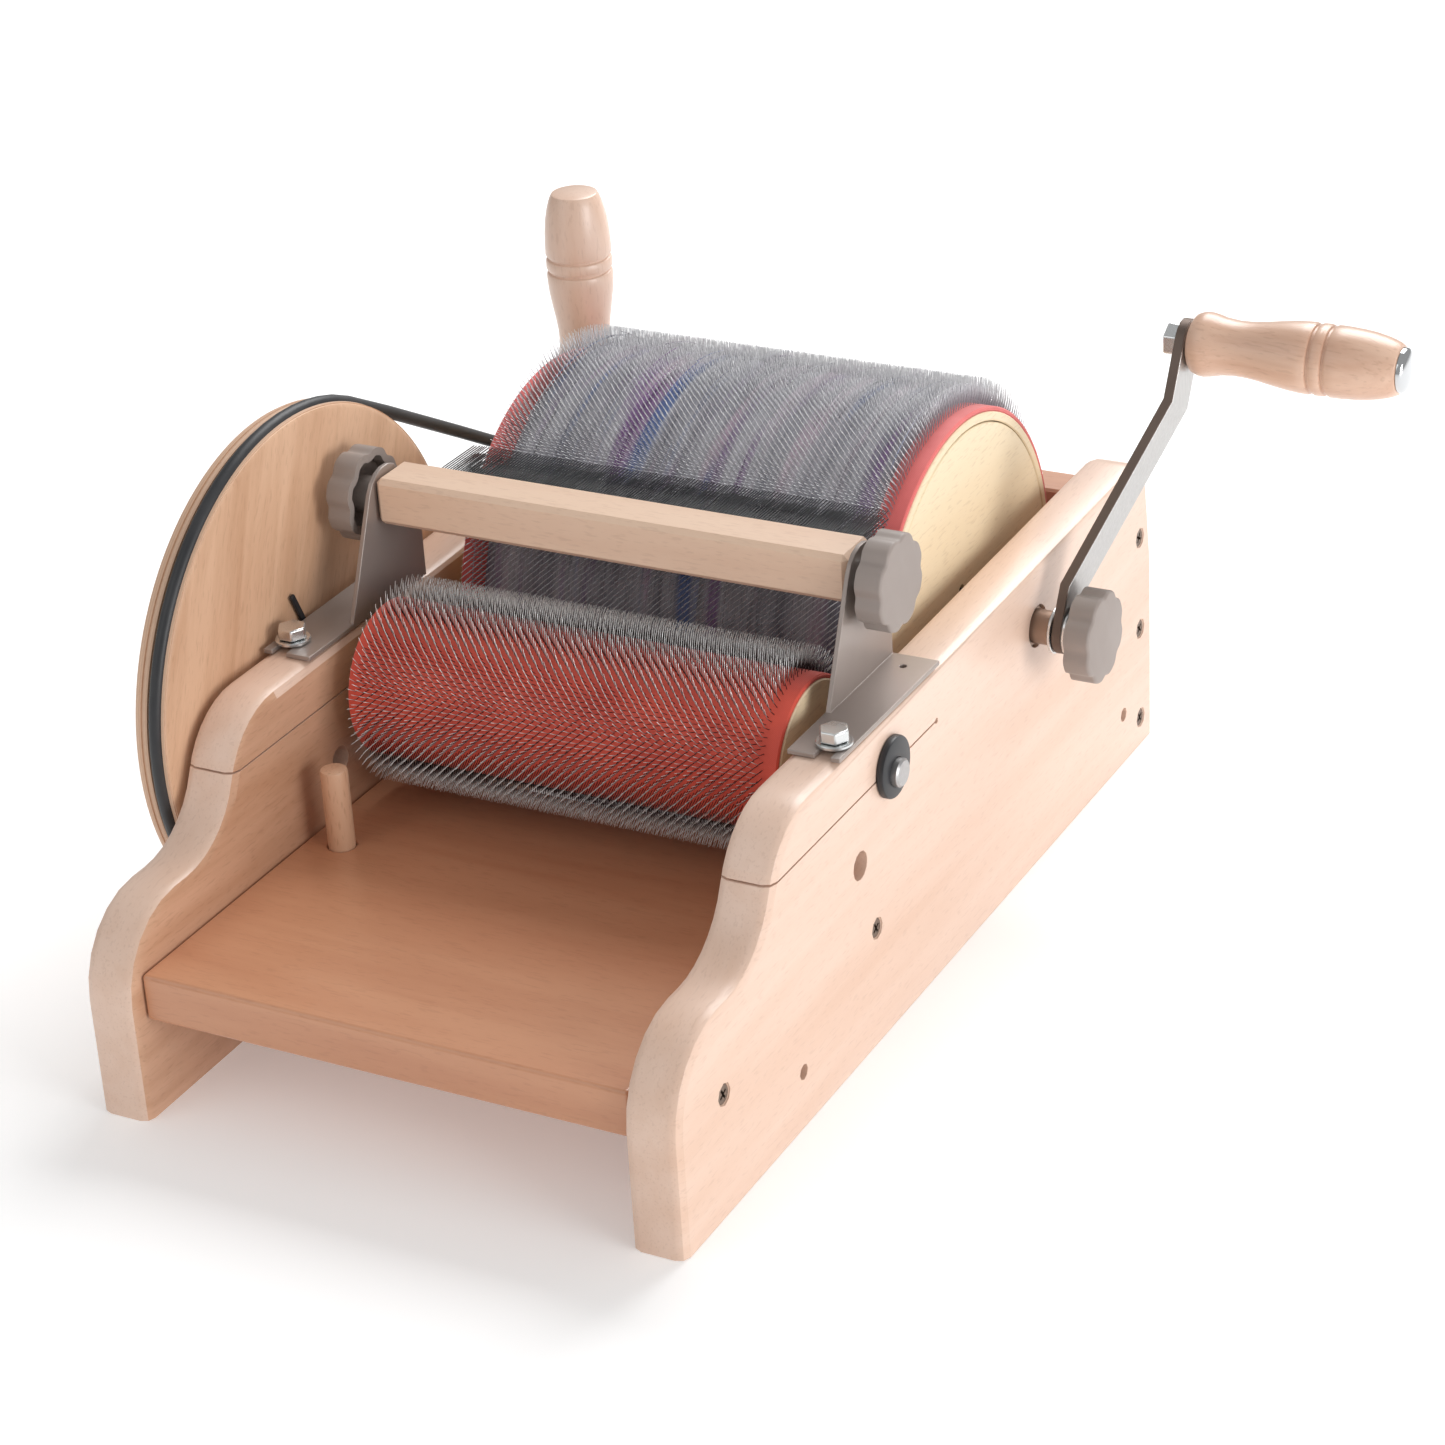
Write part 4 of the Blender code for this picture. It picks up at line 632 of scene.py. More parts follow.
class CARDER_OT_screws(bpy.types.Operator):
    """Countersunk screws with a cross slot, all driven in from outside the panels"""

    bl_idname = "carder.screws"
    bl_label = "Wood screws"

    slot_length = 0.0050
    slot_width = 0.0011
    slot_depth = 0.0016
    head_edge = 0.0003
    head_depth = 0.0028
    head_flat = 0.93
    shank_share = 0.45
    point = 0.004
    turn_per_metre = 40

    def execute(self, context):
        for node in sorted(n for n in FRAME["nodes"] if "_screw_" in n):
            low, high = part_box(node)
            side = 1 if "right" in node else -1
            face = high.x if side > 0 else low.x
            head = reach_of(node)
            shank = head * self.shank_share
            length = high.x - low.x
            profile = [(0.0, 0.0), (0.0, head * self.head_flat), (-self.head_edge, head),
                       (-self.head_depth, shank), (-length + self.point, shank), (-length, 0.0)]
            y, z = axis_of(node)
            bm = spun([(face + side * x, r) for x, r in profile], (y, z), 32, closed=False)
            cutters = []
            for turn in (0.0, math.pi / 2):
                slot = bmesh.new()
                size = (self.slot_depth * 2, self.slot_length, self.slot_width)
                bmesh.ops.create_cube(slot, size=1.0)
                bmesh.ops.scale(slot, vec=size, verts=slot.verts)
                turned = Matrix.Rotation(turn + z * self.turn_per_metre, 4, "X")
                bmesh.ops.transform(slot, matrix=Matrix.Translation((face, y, z)) @ turned, verts=slot.verts)
                cutters.append(slot)
            show(f"{node}_cross_slot", carve(bm, *cutters), "dark screw", node)
        return {"FINISHED"}


class CARDER_OT_drum_bodies(bpy.types.Operator):
    """Wooden ends and shell of the large drum, and the core of the small one"""

    bl_idname = "carder.drum_bodies"
    bl_label = "Drum bodies"

    groove = 0.0005
    hole_depth = 0.6
    pin_radius = 0.0009
    pin_rise = 0.0035
    pin_bend = 0.0009
    pin_slant = 0.7
    pin_steps = 5
    pin_curl = math.radians(80)

    def execute(self, context):
        centre = axis_of("swift_shell")
        low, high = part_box("swift_shell")
        outer = reach_of("swift_shell")
        wall_inner = reach_of("swift_end_right")
        bm = spun(soft_ring(low.x, high.x, wall_inner + self.groove, outer, self.groove), centre, ROUND_STEPS)
        show("swift_shell_turned", bm, "drum end board", "swift_shell")
        bore = bore_of("swift_end_right")
        for side in ("left", "right"):
            node = f"swift_end_{side}"
            low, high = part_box(node)
            bm = spun(soft_ring(low.x, high.x, bore, wall_inner, self.groove), centre, ROUND_STEPS)
            if side == "right":
                place, radius = self.index_hole()
                depth = (high.x - low.x) * self.hole_depth
                bm = carve(bm, spun(plug(high.x - depth, high.x + depth, radius), place, 24, closed=False))
                self.show_pin(place, high.x)
            show(f"{node}_turned", bm, "drum end board", node)
        low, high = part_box("licker_core")
        bm = spun(soft_ring(low.x, high.x, bore_of("licker_core"), reach_of("licker_core"), self.groove),
                  axis_of("licker_core"), ROUND_STEPS)
        show("licker_core_turned", bm, "drum end board", "licker_core")
        return {"FINISHED"}

    def show_pin(self, place, face):
        """A short hooked pin that stands in the index hole."""
        bm = bmesh.new()
        turn = Matrix.Rotation(math.pi / 2, 4, "Y")
        bmesh.ops.create_circle(bm, segments=12, radius=self.pin_radius, cap_ends=True,
                                matrix=Matrix.Translation((face - self.pin_rise, *place)) @ turn)
        end = bm.faces[:]
        for step in range(self.pin_steps):
            grown = bmesh.ops.extrude_face_region(bm, geom=end)["geom"]
            end = [part for part in grown if isinstance(part, bmesh.types.BMFace)]
            angle = self.pin_curl * step / (self.pin_steps - 1)
            length = self.pin_rise * 1.3 if step == 0 else self.pin_bend
            sideways = length * math.sin(angle) * self.pin_slant
            bmesh.ops.translate(bm, vec=(length * math.cos(angle), -sideways, sideways),
                                verts=vertices_in(grown))
        bmesh.ops.remove_doubles(bm, verts=bm.verts, dist=MERGE)
        face_outwards(bm)
        show("swift_index_pin", bm, "dark screw", (), "swift")

    def index_hole(self):
        """Centre and radius of the small blind hole in the right end, read from its floor."""
        mesh = FRAME["nodes"]["swift_end_right"].data
        low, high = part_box("swift_end_right")
        floor = [v.co for v in mesh.vertices if low.x + MERGE * 10 < v.co.x < high.x - MERGE * 10]
        ys, zs = [co.y for co in floor], [co.z for co in floor]
        return ((min(ys) + max(ys)) / 2, (min(zs) + max(zs)) / 2), (max(zs) - min(zs)) / 2


def wire_field(centre, base, length, x0, pitch, ring, columns, thickness, lean, seed):
    """Bent wires set round a drum in staggered rings, each wire with a knee and a finer tip."""
    y, z = centre
    knee, knee_back, knee_size, tip_size = 0.45, 0.35, 0.95, 0.6
    ragged, ragged_scale = 0.05, 420.0
    bm = bmesh.new()
    for x, turn in ((x0, 0.0), (x0 + pitch, FULL_TURN / ring / 2)):
        made = bmesh.ops.create_circle(bm, segments=3, radius=thickness / 2,
                                       matrix=Matrix.Translation((x, y, z + base)), cap_ends=False)
        wire = list(made["verts"])
        edges = joined_to(wire, "link_edges")
        for height, shift, size in ((knee * length, -lean * knee_back, knee_size),
                                    (length * (1 - knee), lean, tip_size)):
            ends, edges = extrude_loop(bm, edges)
            middle = sum((v.co for v in ends), Vector()) / 3
            bmesh.ops.scale(bm, vec=(size, size, 1.0), space=Matrix.Translation(-middle), verts=ends)
            bmesh.ops.translate(bm, vec=(0.0, shift, height), verts=ends)
            wire += ends
        bmesh.ops.contextual_create(bm, geom=edges)
        bmesh.ops.rotate(bm, verts=wire, cent=(0, y, z), matrix=Matrix.Rotation(turn, 3, "X"))
        geom = wire + joined_to(wire, "link_edges") + joined_to(wire, "link_faces")
        bmesh.ops.spin(bm, geom=geom, cent=(0, y, z), axis=(1, 0, 0), angle=FULL_TURN * (ring - 1) / ring,
                       steps=ring - 1, use_duplicate=True)
    bmesh.ops.spin(bm, geom=bm.verts[:] + bm.edges[:] + bm.faces[:], cent=(0, y, z), axis=(1, 0, 0),
                   angle=0.0, dvec=(2 * pitch, 0.0, 0.0), steps=columns - 1, use_duplicate=True)
    face_outwards(bm)
    for vert in bm.verts:
        out = math.hypot(vert.co.y - y, vert.co.z - z) - base
        share = max(0.0, out / length) ** 1.5
        drift = noise.noise_vector(vert.co * ragged_scale + Vector((seed, 0, 0)))
        vert.co += drift * length * ragged * share
    return bm


class CARDER_OT_card_clothing(bpy.types.Operator):
    """Foundation cloth and bent wires of both drums"""

    bl_idname = "carder.card_clothing"
    bl_label = "Card clothing"

    wire_margin = 0.0065
    section_size = 6000
    cloth_edge = 0.0006
    wire_root = 0.0004
    large_lean = -0.0022
    small_lean = 0.0020

    def execute(self, context):
        s = sizes()
        large = (s.large_cloth, s.large_wire, s.large_ring, s.large_columns, self.large_lean)
        small = (s.small_cloth, s.small_wire, s.small_ring, s.small_columns, self.small_lean)
        for prefix, carrier, finish, measures in (("swift", "swift_shell", "large drum", large),
                                                  ("licker", "licker_core", "small drum", small)):
            cloth, wire, ring, columns, lean = measures
            node = f"{prefix}_cloth"
            low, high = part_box(node)
            centre, inner = axis_of(carrier), reach_of(carrier)
            bm = spun(soft_ring(low.x, high.x, inner, inner + cloth, self.cloth_edge), centre, ROUND_STEPS)
            show(f"{prefix}_foundation", bm, f"{finish} cloth", node)
            base = inner + cloth - self.wire_root
            start = low.x + self.wire_margin
            pitch = (high.x - low.x - 2 * self.wire_margin) / (2 * columns - 1)
            sections = -(-ring * columns // self.section_size)
            for section in range(sections):
                first, last = (columns * i // sections for i in (section, section + 1))
                bm = wire_field(centre, base, wire + self.wire_root, start + first * 2 * pitch, pitch, ring,
                                last - first, s.wire_thickness, lean, section)
                show(f"{prefix}_wires_{section + 1}", bm, f"{finish} wire", (), BODY_OF[node],
                     sharp=math.pi)
        return {"FINISHED"}


class CARDER_OT_wool_traces(bpy.types.Operator):
    """Combed wool left between the wires of the large drum: a packed bed and loose strands"""

    bl_idname = "carder.wool_traces"
    bl_label = "Wool traces"

    strands = 420
    thickness = 0.00035
    strand_margin = 0.008
    strand_drift = 0.0002
    bed_height = 0.42
    bed_foot = 0.0003
    bed_margin = 0.012
    bed_slope = 0.009
    bed_rows = 60
    bed_lumps = 0.0011

    def execute(self, context):
        chance = random.Random(7)
        s = sizes()
        y, z = axis_of("swift_shell")
        low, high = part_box("swift_cloth")
        base = reach_of("swift_shell") + s.large_cloth
        bm = bmesh.new()
        for _ in range(self.strands):
            x = chance.uniform(low.x + self.strand_margin, high.x - self.strand_margin)
            radius = base + s.large_wire * chance.uniform(0.25, 0.8)
            start, sweep = chance.uniform(0.0, FULL_TURN), chance.uniform(0.15, 0.7)
            size = self.thickness * chance.uniform(0.5, 1.1)
            made = bmesh.ops.create_circle(bm, segments=3, radius=size, cap_ends=False,
                                           matrix=Matrix.Translation((x, y, z + radius)) @
                                           Matrix.Rotation(math.pi / 2, 4, "X"))
            loop = made["verts"]
            bmesh.ops.rotate(bm, verts=loop, cent=(0, y, z), matrix=Matrix.Rotation(start, 3, "X"))
            drift = chance.uniform(-self.strand_drift, self.strand_drift)
            bmesh.ops.spin(bm, geom=list(loop) + joined_to(loop, "link_edges"), cent=(0, y, z),
                           axis=(1, 0, 0), dvec=(drift, 0.0, 0.0), angle=sweep, steps=10)
        face_outwards(bm)
        bmesh.ops.holes_fill(bm, edges=bm.edges, sides=3)
        show("swift_wool_traces", bm, "packed wool", (), "swift", sharp=math.pi)
        floor, top = base - self.bed_foot, base + s.large_wire * self.bed_height
        x0, x1 = low.x + self.bed_margin, high.x - self.bed_margin
        slope, shoulder = self.bed_slope, floor + (top - floor) * 0.6
        profile = [(x0, floor), (x0 + slope * 0.3, shoulder), (x0 + slope, top)]
        step = (x1 - x0 - 2 * slope) / self.bed_rows
        profile += [(x0 + slope + step * i, top) for i in range(1, self.bed_rows)]
        profile += [(x1 - slope, top), (x1 - slope * 0.3, shoulder), (x1, floor)]
        bm = spun(profile, (y, z), ROUND_STEPS * 2)
        for vert in bm.verts:
            out = Vector((0.0, vert.co.y - y, vert.co.z - z))
            place = Vector((vert.co.x * 300.0, out.y * 25.0, out.z * 25.0))
            if out.length > floor + MERGE:
                vert.co += out.normalized() * noise.noise(place) * self.bed_lumps
        show("swift_wool_bed", bm, "packed wool", (), "swift", sharp=math.pi)
        return {"FINISHED"}


class CARDER_OT_drive_wheel(bpy.types.Operator):
    """Plywood belt wheel of two discs, with its hub nut"""

    bl_idname = "carder.drive_wheel"
    bl_label = "Belt wheel"

    rim_steps = 144
    groove_steps = 8
    groove_room = 0.0011
    crown = 0.0026
    groove_start = -88
    groove_sweep = 85
    seam = 0.0004
    seam_inset = 0.0042

    def execute(self, context):
        centre = axis_of("drive_wheel_inner_disc")
        rim = reach_of("drive_wheel_inner_disc")
        bore = bore_of("drive_wheel_inner_disc")
        belt_low, belt_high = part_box("drive_belt")
        belt_x, groove = (belt_low.x + belt_high.x) / 2, (belt_high.x - belt_low.x) / 2 + self.groove_room
        for node, toward in (("drive_wheel_inner_disc", 1), ("drive_wheel_outer_disc", -1)):
            low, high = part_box(node)
            face = high.x if toward > 0 else low.x
            middle = low.x if toward > 0 else high.x
            profile = [(middle, bore)]
            for i in range(self.groove_steps + 1):
                angle = math.radians(self.groove_start + self.groove_sweep * i / self.groove_steps)
                profile.append((belt_x + toward * groove * math.cos(angle), rim + groove * math.sin(angle)))
            if toward < 0:
                seam_x = face + self.seam_inset
                profile += [(seam_x + self.seam, rim), (seam_x, rim - self.seam * 1.5),
                            (seam_x - self.seam, rim)]
            profile += [*crowned(face, rim, self.crown, toward), (face, bore)]
            bm = spun(profile, centre, self.rim_steps)
            split_by_facing(bm)
            show(f"{node}_turned", bm, ("wheel face", "wheel edge"), node)
        dress("wheel_nut", "zinc", sizes().metal_edge)
        return {"FINISHED"}


class CARDER_OT_belt_and_pulleys(bpy.types.Operator):
    """Round rubber belt, the large drum's pulley and the idler"""

    bl_idname = "carder.belt_and_pulleys"
    bl_label = "Belt and pulleys"

    def execute(self, context):
        bm = merged_copy("drive_belt", flatten=False)
        belt = show("drive_belt_round", bm, "belt rubber", "drive_belt", sharp=math.pi)
        smooth = belt.modifiers.new("round", "SUBSURF")
        smooth.levels = smooth.render_levels = 1
        for node in ("swift_pulley", "idler_pulley"):
            dress(node, "black plastic", sizes().metal_edge)
        dress("idler_stud", "zinc", sizes().metal_edge)
        return {"FINISHED"}


def turned_part(node, finish, edge):
    """A plain ring or washer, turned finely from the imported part's size."""
    low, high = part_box(node)
    bm = spun(soft_ring(low.x, high.x, bore_of(node), reach_of(node), edge), axis_of(node))
    show(f"{node}_turned", bm, finish, node)


class CARDER_OT_bushes(bpy.types.Operator):
    """Black eccentric bushes, the bronze bushes and both axles"""

    bl_idname = "carder.bushes"
    bl_label = "Bushes and axles"

    flange_edge = 0.0008
    flange_width = 0.003
    axle_chamfer = 0.0008

    def execute(self, context):
        edge = sizes().metal_edge
        low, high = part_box("eccentric_bush_right")
        flange = reach_of("eccentric_bush_right")
        body = flange - self.flange_width
        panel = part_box("side_panel_right")[1].x
        centre = axis_of("eccentric_bush_right")
        soft = self.flange_edge
        profile = [(low.x, 0.0), (low.x, body), (panel + edge, body), (panel + edge, flange - edge),
                   (panel + edge * 2, flange), *crowned(high.x, flange, soft), (high.x, 0.0)]
        axle, radius = axis_of("licker_axle"), reach_of("licker_axle")
        tool = spun(plug(low.x - soft, high.x + soft, radius + edge), axle, closed=False)
        bm = carve(spun(profile, centre, ROUND_STEPS, closed=False), tool)
        show("eccentric_bush_right_moulded", bm, "black plastic", "eccentric_bush_right")
        dress("eccentric_bush_left", "black plastic", edge)
        low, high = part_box("licker_axle")
        chamfer = self.axle_chamfer
        profile = [(low.x, 0.0), (low.x, radius - chamfer), (low.x + chamfer, radius),
                   (high.x - chamfer, radius), (high.x, radius - chamfer), (high.x, 0.0)]
        show("licker_axle_turned", spun(profile, axle, closed=False), "turned steel", "licker_axle")
        dress("swift_axle", "turned steel", edge)
        for node in ("swift_bush_left", "swift_bush_right", "crank_spacer"):
            turned_part(node, "bronze", edge)
        for node in ("crank_washer", "crank_lock_washer"):
            turned_part(node, "zinc", edge)
        return {"FINISHED"}


def fluted_knob(node, lobes):
    """Moulded knob with broad lobes, a dished back and a central boss."""
    low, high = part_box(node)
    centre = axis_of(node)
    side = -1 if "left" in node else 1
    radius, depth = reach_of(node), high.x - low.x
    boss, wall, flute, soft = 0.003, 0.0034, 0.0017, 0.0014
    boss_radius, boss_bore, boss_inset, boss_edge, cover = 0.0078, 0.0034, 0.0035, 0.0004, 0.004
    steps_per_lobe, sharpness = 16, 2.5
    body = depth - boss
    bm = bmesh.new()
    made = bmesh.ops.create_circle(bm, segments=lobes * steps_per_lobe, radius=radius, cap_ends=True)
    for vert in made["verts"]:
        angle = math.atan2(vert.co.y, vert.co.x)
        scallop = (0.5 + 0.5 * math.cos(lobes * angle)) ** sharpness
        vert.co *= 1.0 - flute / radius * scallop
    bmesh.ops.translate(bm, vec=(0, 0, body), verts=extrude_faces(bm, bm.faces[:]))
    rim = [e for e in bm.edges if all(abs(v.co.z - body) < MERGE for v in e.verts)]
    bmesh.ops.bevel(bm, geom=rim, offset=soft, segments=4, profile=0.5, affect="EDGES", material=-1)
    face_outwards(bm)
    back = min(bm.faces, key=lambda f: f.calc_center_median().z)
    bmesh.ops.inset_region(bm, faces=[back], thickness=wall, depth=0.0)
    bmesh.ops.translate(bm, vec=(0, 0, body - cover), verts=extrude_faces(bm, [back]))
    bmesh.ops.delete(bm, geom=[back], context="FACES_ONLY")
    turn = Matrix.Rotation(side * math.pi / 2, 4, "Y")
    start = low.x + boss if side > 0 else high.x - boss
    bmesh.ops.transform(bm, matrix=Matrix.Translation((start, *centre)) @ turn, verts=bm.verts)
    face_outwards(bm)
    inner = low.x if side > 0 else high.x
    boss_profile = soft_ring(0.0, depth - boss_inset, boss_bore, boss_radius, boss_edge)
    ring = spun([(inner + side * x, r) for x, r in boss_profile], centre)
    joined = bpy.data.meshes.new("boss")
    ring.to_mesh(joined)
    ring.free()
    bm.from_mesh(joined)
    bpy.data.meshes.remove(joined)
    return bm


class CARDER_OT_knobs(bpy.types.Operator):
    """Clamping knobs of the brush and of the crank"""

    bl_idname = "carder.knobs"
    bl_label = "Knobs"

    def execute(self, context):
        for node in ("brush_knob_left", "brush_knob_right", "crank_knob"):
            show(f"{node}_moulded", fluted_knob(node, sizes().knob_lobes), "knob plastic", node)
        return {"FINISHED"}


class CARDER_OT_brush(bpy.types.Operator):
    """Brush bar, its channel and the stiff black bristles"""

    bl_idname = "carder.brush"
    bl_label = "Packer brush"

    rows = 4
    bristle = 0.00060
    sheet = 0.0007
    pad_margin = 0.0005
    tip_gap = 0.0014
    clump_spread = 0.0009
    ragged_ends = 0.0024
    ragged_from = 0.6

    def execute(self, context):
        s = sizes()
        dress("brush_bar", "bar beech", s.edge_softness)
        low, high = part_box("brush_channel")
        t = self.sheet
        bm = bmesh.new()
        outline = [(low.y, low.z), (high.y, low.z), (high.y, low.z + t), (low.y + t, low.z + t),
                   (low.y + t, high.z - t), (high.y, high.z - t), (high.y, high.z), (low.y, high.z)]
        face = bm.faces.new([bm.verts.new((low.x, y, z)) for y, z in outline])
        bmesh.ops.translate(bm, vec=(high.x - low.x, 0, 0), verts=extrude_faces(bm, [face]))
        face_outwards(bm)
        soften(show("brush_channel_folded", bm, "bracket paint", "brush_channel"), t / 3)
        show("brush_bristles_set", self.bristles(s), "bristle", "brush_bristles", sharp=math.pi)
        for side in ("left", "right"):
            turned_part(f"brush_washer_{side}", "zinc", s.metal_edge)
            dress(f"brush_stud_{side}", "zinc", s.metal_edge)
        return {"FINISHED"}

    def bristles(self, s):
        """Rows of bristles that start in the channel and end at the tips of the large drum's wires."""
        low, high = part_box("brush_bristles")
        y, z = axis_of("swift_shell")
        reach = reach_of("swift_cloth") + self.tip_gap
        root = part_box("brush_channel")[0].y + self.sheet * 2
        bm = bmesh.new()
        turn = Matrix.Rotation(-math.pi / 2, 4, "X")
        step = (high.x - low.x - 2 * self.pad_margin) / (s.bristle_columns - 1)
        for row in range(self.rows):
            row_z = low.z + (high.z - low.z) * (row + 0.5) / self.rows
            x = low.x + self.pad_margin + step * (row % 3) / 3
            made = bmesh.ops.create_circle(bm, segments=3, radius=self.bristle / 2, cap_ends=False,
                                           matrix=Matrix.Translation((x, root, row_z)) @ turn)
            bristle = list(made["verts"])
            edges = joined_to(bristle, "link_edges")
            for _ in range(2):
                ends, edges = extrude_loop(bm, edges)
                bmesh.ops.translate(bm, vec=(0.0, (high.y - root) / 2, 0.0), verts=ends)
                bristle += ends
            bmesh.ops.contextual_create(bm, geom=edges)
            geom = bristle + joined_to(bristle, "link_edges") + joined_to(bristle, "link_faces")
            bmesh.ops.spin(bm, geom=geom, cent=(0, 0, 0), axis=(1, 0, 0), angle=0.0, dvec=(step, 0.0, 0.0),
                           steps=s.bristle_columns - 2, use_duplicate=True)
        face_outwards(bm)
        for vert in bm.verts:
            out = max(0.0, (vert.co.y - root) / (high.y - root))
            clump = noise.noise_vector(Vector((vert.co.x * 260.0, vert.co.z * 90.0, 0.0)))
            vert.co += Vector((clump.x, 0.0, clump.z * 0.6)) * self.clump_spread * out
            if out > self.ragged_from:
                limit = y - math.sqrt(reach ** 2 - (vert.co.z - z) ** 2)
                ragged = noise.noise(Vector((vert.co.x * 700.0, vert.co.z * 200.0, 5.0)))
                vert.co.y = min(vert.co.y, limit) - self.ragged_ends * max(0.0, ragged)
        return bm


class CARDER_OT_brackets(bpy.types.Operator):
    """Folded steel brackets of the brush, with their bolts and washers"""

    bl_idname = "carder.brackets"
    bl_label = "Brackets"

    washer_bore = 0.45

    def execute(self, context):
        for side in ("left", "right"):
            edge = sizes().metal_edge
            dress(f"brush_bracket_{side}", "bracket paint", edge)
            dress(f"bracket_bolt_{side}", "zinc", edge * 2)
            node = f"bracket_washer_{side}"
            low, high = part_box(node)
            radius = (high.x - low.x) / 2
            bm = spun(soft_ring(low.z, high.z, radius * self.washer_bore, radius, edge), (0.0, 0.0))
            bmesh.ops.transform(bm, matrix=upright(node), verts=bm.verts)
            show(f"{node}_turned", bm, "zinc", node)
        return {"FINISHED"}


# Distance along the handle and radius: a rounded foot, a waist, a belly with two cut rings, a rounded end.
GRIP_SHAPE = (
    (0.0, 0.0095), (0.0008, 0.0112), (0.002, 0.0126), (0.0045, 0.0136), (0.007, 0.0138),
    (0.0105, 0.0132), (0.014, 0.0123), (0.020, 0.0117), (0.026, 0.0119), (0.032, 0.0127),
    (0.038, 0.0137), (0.044, 0.0146), (0.0495, 0.0151), (0.0532, 0.0152), (0.0541, 0.0148),
    (0.0546, 0.0139), (0.0554, 0.0139), (0.0559, 0.0148), (0.0568, 0.0152), (0.0597, 0.0152),
    (0.0606, 0.0148), (0.0611, 0.0139), (0.0619, 0.0139), (0.0624, 0.0148), (0.0633, 0.0152),
    (0.068, 0.0151), (0.0735, 0.0148), (0.079, 0.0142), (0.084, 0.0132), (0.0875, 0.0122),
    (0.0898, 0.0113), (0.0911, 0.0105), (0.0915, 0.0095),
)


def turned_grip(start, matrix, bore, bore_end=None):
    """The turned handle, laid along +X from start and then put in place; a blind bore ends at bore_end."""
    outside = [(start + x, radius) for x, radius in GRIP_SHAPE]
    end = start + GRIP_SHAPE[-1][0]
    inside = [(end, bore)] if bore_end is None else [(end, 0.0), (bore_end, 0.0), (bore_end, bore)]
    bm = spun([(start, bore), *outside, *inside], (0.0, 0.0), 64)
    bmesh.ops.transform(bm, matrix=matrix, verts=bm.verts)
    return bm


class CARDER_OT_crank(bpy.types.Operator):
    """Cranked steel arm, its turned grip, the chrome cap and the nut"""

    bl_idname = "carder.crank"
    bl_label = "Crank"

    grip_bore = 0.0033
    shank = 0.003
    side_limit = 0.6

    def execute(self, context):
        edge = sizes().metal_edge
        bm = merged_copy("crank_arm")
        split_by_facing(bm, self.side_limit)
        soften(show("crank_arm_bent", bm, ("arm steel", "arm edge"), "crank_arm"), edge * 1.6)
        low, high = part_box("crank_grip")
        centre = axis_of("crank_grip")
        place = Matrix.Translation((0.0, *centre))
        show("crank_grip_turned", turned_grip(low.x, place, self.grip_bore), "grip beech", "crank_grip")
        cap_start = high.x + edge
        low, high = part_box("grip_bolt")
        cap = reach_of("grip_bolt")
        rise = high.x - cap_start
        dome = [(cap_start + rise * (0.25 + 0.75 * math.sin(a)), cap * math.cos(a))
                for a in [math.radians(angle) for angle in range(0, 90, 10)]]
        profile = [(low.x, 0.0), (low.x, self.shank), (cap_start, self.shank), (cap_start, cap), *dome,
                   (high.x, 0.0)]
        show("grip_bolt_domed", spun(profile, centre, closed=False), "chrome", "grip_bolt")
        dress("grip_nut", "zinc", edge * 2)
        return {"FINISHED"}


class CARDER_OT_awl(bpy.types.Operator):
    """Doffer awl that stands in the left panel"""

    bl_idname = "carder.awl"
    bl_label = "Awl"

    rod_room = 0.0002
    end_room = 0.0003

    def execute(self, context):
        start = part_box("awl_handle")[0].z
        low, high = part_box("awl_rod")
        bore = (high.x - low.x) / 2 + self.rod_room
        bm = turned_grip(start, upright("awl_handle"), bore, high.z + self.end_room)
        show("awl_handle_turned", bm, "awl beech", "awl_handle")
        dress("awl_rod", "turned steel", sizes().metal_edge)
        return {"FINISHED"}


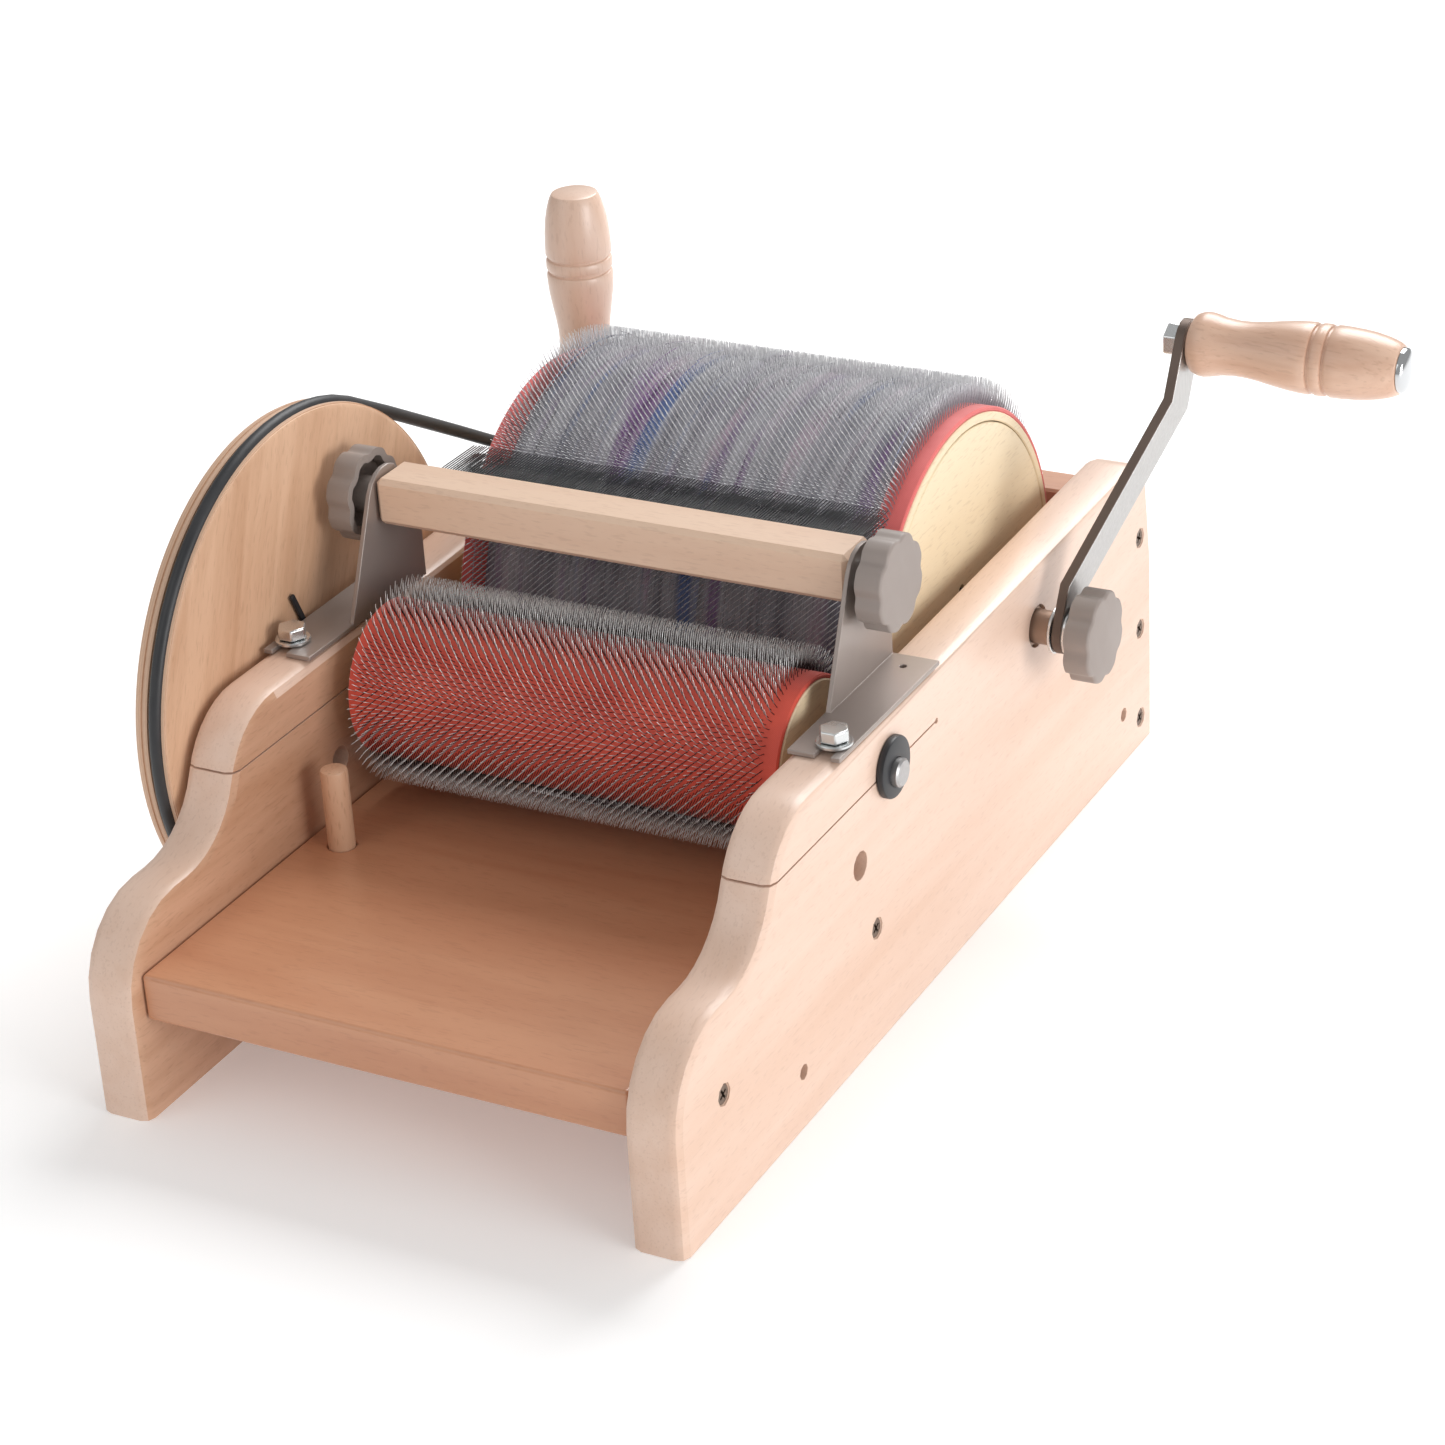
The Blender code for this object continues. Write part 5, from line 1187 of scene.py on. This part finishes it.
class CARDER_OT_studio(bpy.types.Operator):
    """Pale floor, soft lights and the camera"""

    bl_idname = "carder.studio"
    bl_label = "Studio"

    camera_place = (0.66201, -1.22596, 0.81350)
    camera_turn = (62.920, 3.093, 27.588)
    lens = 93.72
    sensor = 36.0
    sky_light = 0.42
    light_target = (0.0, 0.0, 0.1)
    floor_size = 14.0
    floor_drop = 0.0002
    floor_colour = (0.92, 0.92, 0.92)
    floor_glow = 0.22
    lights = (("key", (2.4, -0.6, 0.55), 1.3, 34.0), ("fill", (-1.2, -1.9, 1.6), 1.8, 9.0),
              ("top", (0.0, 1.6, 1.7), 1.4, 42.0))

    def execute(self, context):
        scene = context.scene
        bm = bmesh.new()
        bmesh.ops.create_grid(bm, x_segments=1, y_segments=1, size=self.floor_size / 2)
        floor = placed("studio_floor", mesh_from(bm, "studio_floor"))
        floor.data.materials.append(self.floor_finish())
        floor.location.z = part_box("side_panel_left")[0].z - self.floor_drop
        for name, place, size, power in self.lights:
            light = placed(name, bpy.data.lights.new(name, "AREA"))
            light.data.size = size
            light.data.energy = power
            light.location = place
            aim = Vector(self.light_target) - light.location
            light.rotation_euler = aim.to_track_quat("-Z", "Y").to_euler()
        world = bpy.data.worlds.new("studio")
        world.use_nodes = True
        sky = world.node_tree.nodes["Background"].inputs
        sky["Color"].default_value = (1.0, 1.0, 1.0, 1.0)
        sky["Strength"].default_value = self.sky_light
        scene.world = world
        scene.view_settings.view_transform = "Standard"
        camera = placed("camera", bpy.data.cameras.new("camera"))
        camera.data.lens = self.lens
        camera.data.sensor_width = self.sensor
        camera.location = self.camera_place
        camera.rotation_euler = [math.radians(a) for a in self.camera_turn]
        scene.camera = camera
        return {"FINISHED"}

    def floor_finish(self):
        s, place = new_finish("studio floor")
        drift = s.noise(place, 1.5, 1.0)
        share = s.ramp(drift, 0.4, 0.6, 0.0, 0.05)
        s.put("Base Color", s.mix(share, self.floor_colour, (0.88, 0.88, 0.88)))
        s.put("Roughness", 0.8)
        s.put("Emission Color", (1.0, 1.0, 1.0))
        s.put("Emission Strength", self.floor_glow)
        return FINISHES["studio floor"]


class CARDER_PT_pieces(bpy.types.Panel):
    """Lists the pieces of the carder and their sizes and colours"""

    bl_idname = "CARDER_PT_pieces"
    bl_label = "Drum Carder"
    bl_space_type = "VIEW_3D"
    bl_region_type = "UI"
    bl_category = "Drum Carder"

    def draw(self, context):
        for group in (context.scene.carder_sizes, context.scene.carder_colours):
            box = self.layout.box()
            for name in group.__annotations__:
                box.prop(group, name)
        for operator in PIECES:
            self.layout.operator(operator.bl_idname)


PIECES = (CARDER_OT_finishes, CARDER_OT_studio, CARDER_OT_woodwork, CARDER_OT_screws,
          CARDER_OT_drum_bodies, CARDER_OT_card_clothing, CARDER_OT_wool_traces, CARDER_OT_drive_wheel,
          CARDER_OT_belt_and_pulleys, CARDER_OT_bushes, CARDER_OT_knobs, CARDER_OT_brush,
          CARDER_OT_brackets, CARDER_OT_crank, CARDER_OT_awl)
CLASSES = (CarderSizes, CarderColours, *PIECES, CARDER_PT_pieces)


def register():
    for cls in CLASSES:
        bpy.utils.register_class(cls)
    bpy.types.Scene.carder_sizes = PointerProperty(type=CarderSizes)
    bpy.types.Scene.carder_colours = PointerProperty(type=CarderColours)


def unregister():
    del bpy.types.Scene.carder_colours
    del bpy.types.Scene.carder_sizes
    for cls in reversed(CLASSES):
        bpy.utils.unregister_class(cls)


def main():
    register()
    for operator in PIECES:
        area, name = operator.bl_idname.split(".")
        getattr(getattr(bpy.ops, area), name)()


if __name__ == "__main__":
    main()
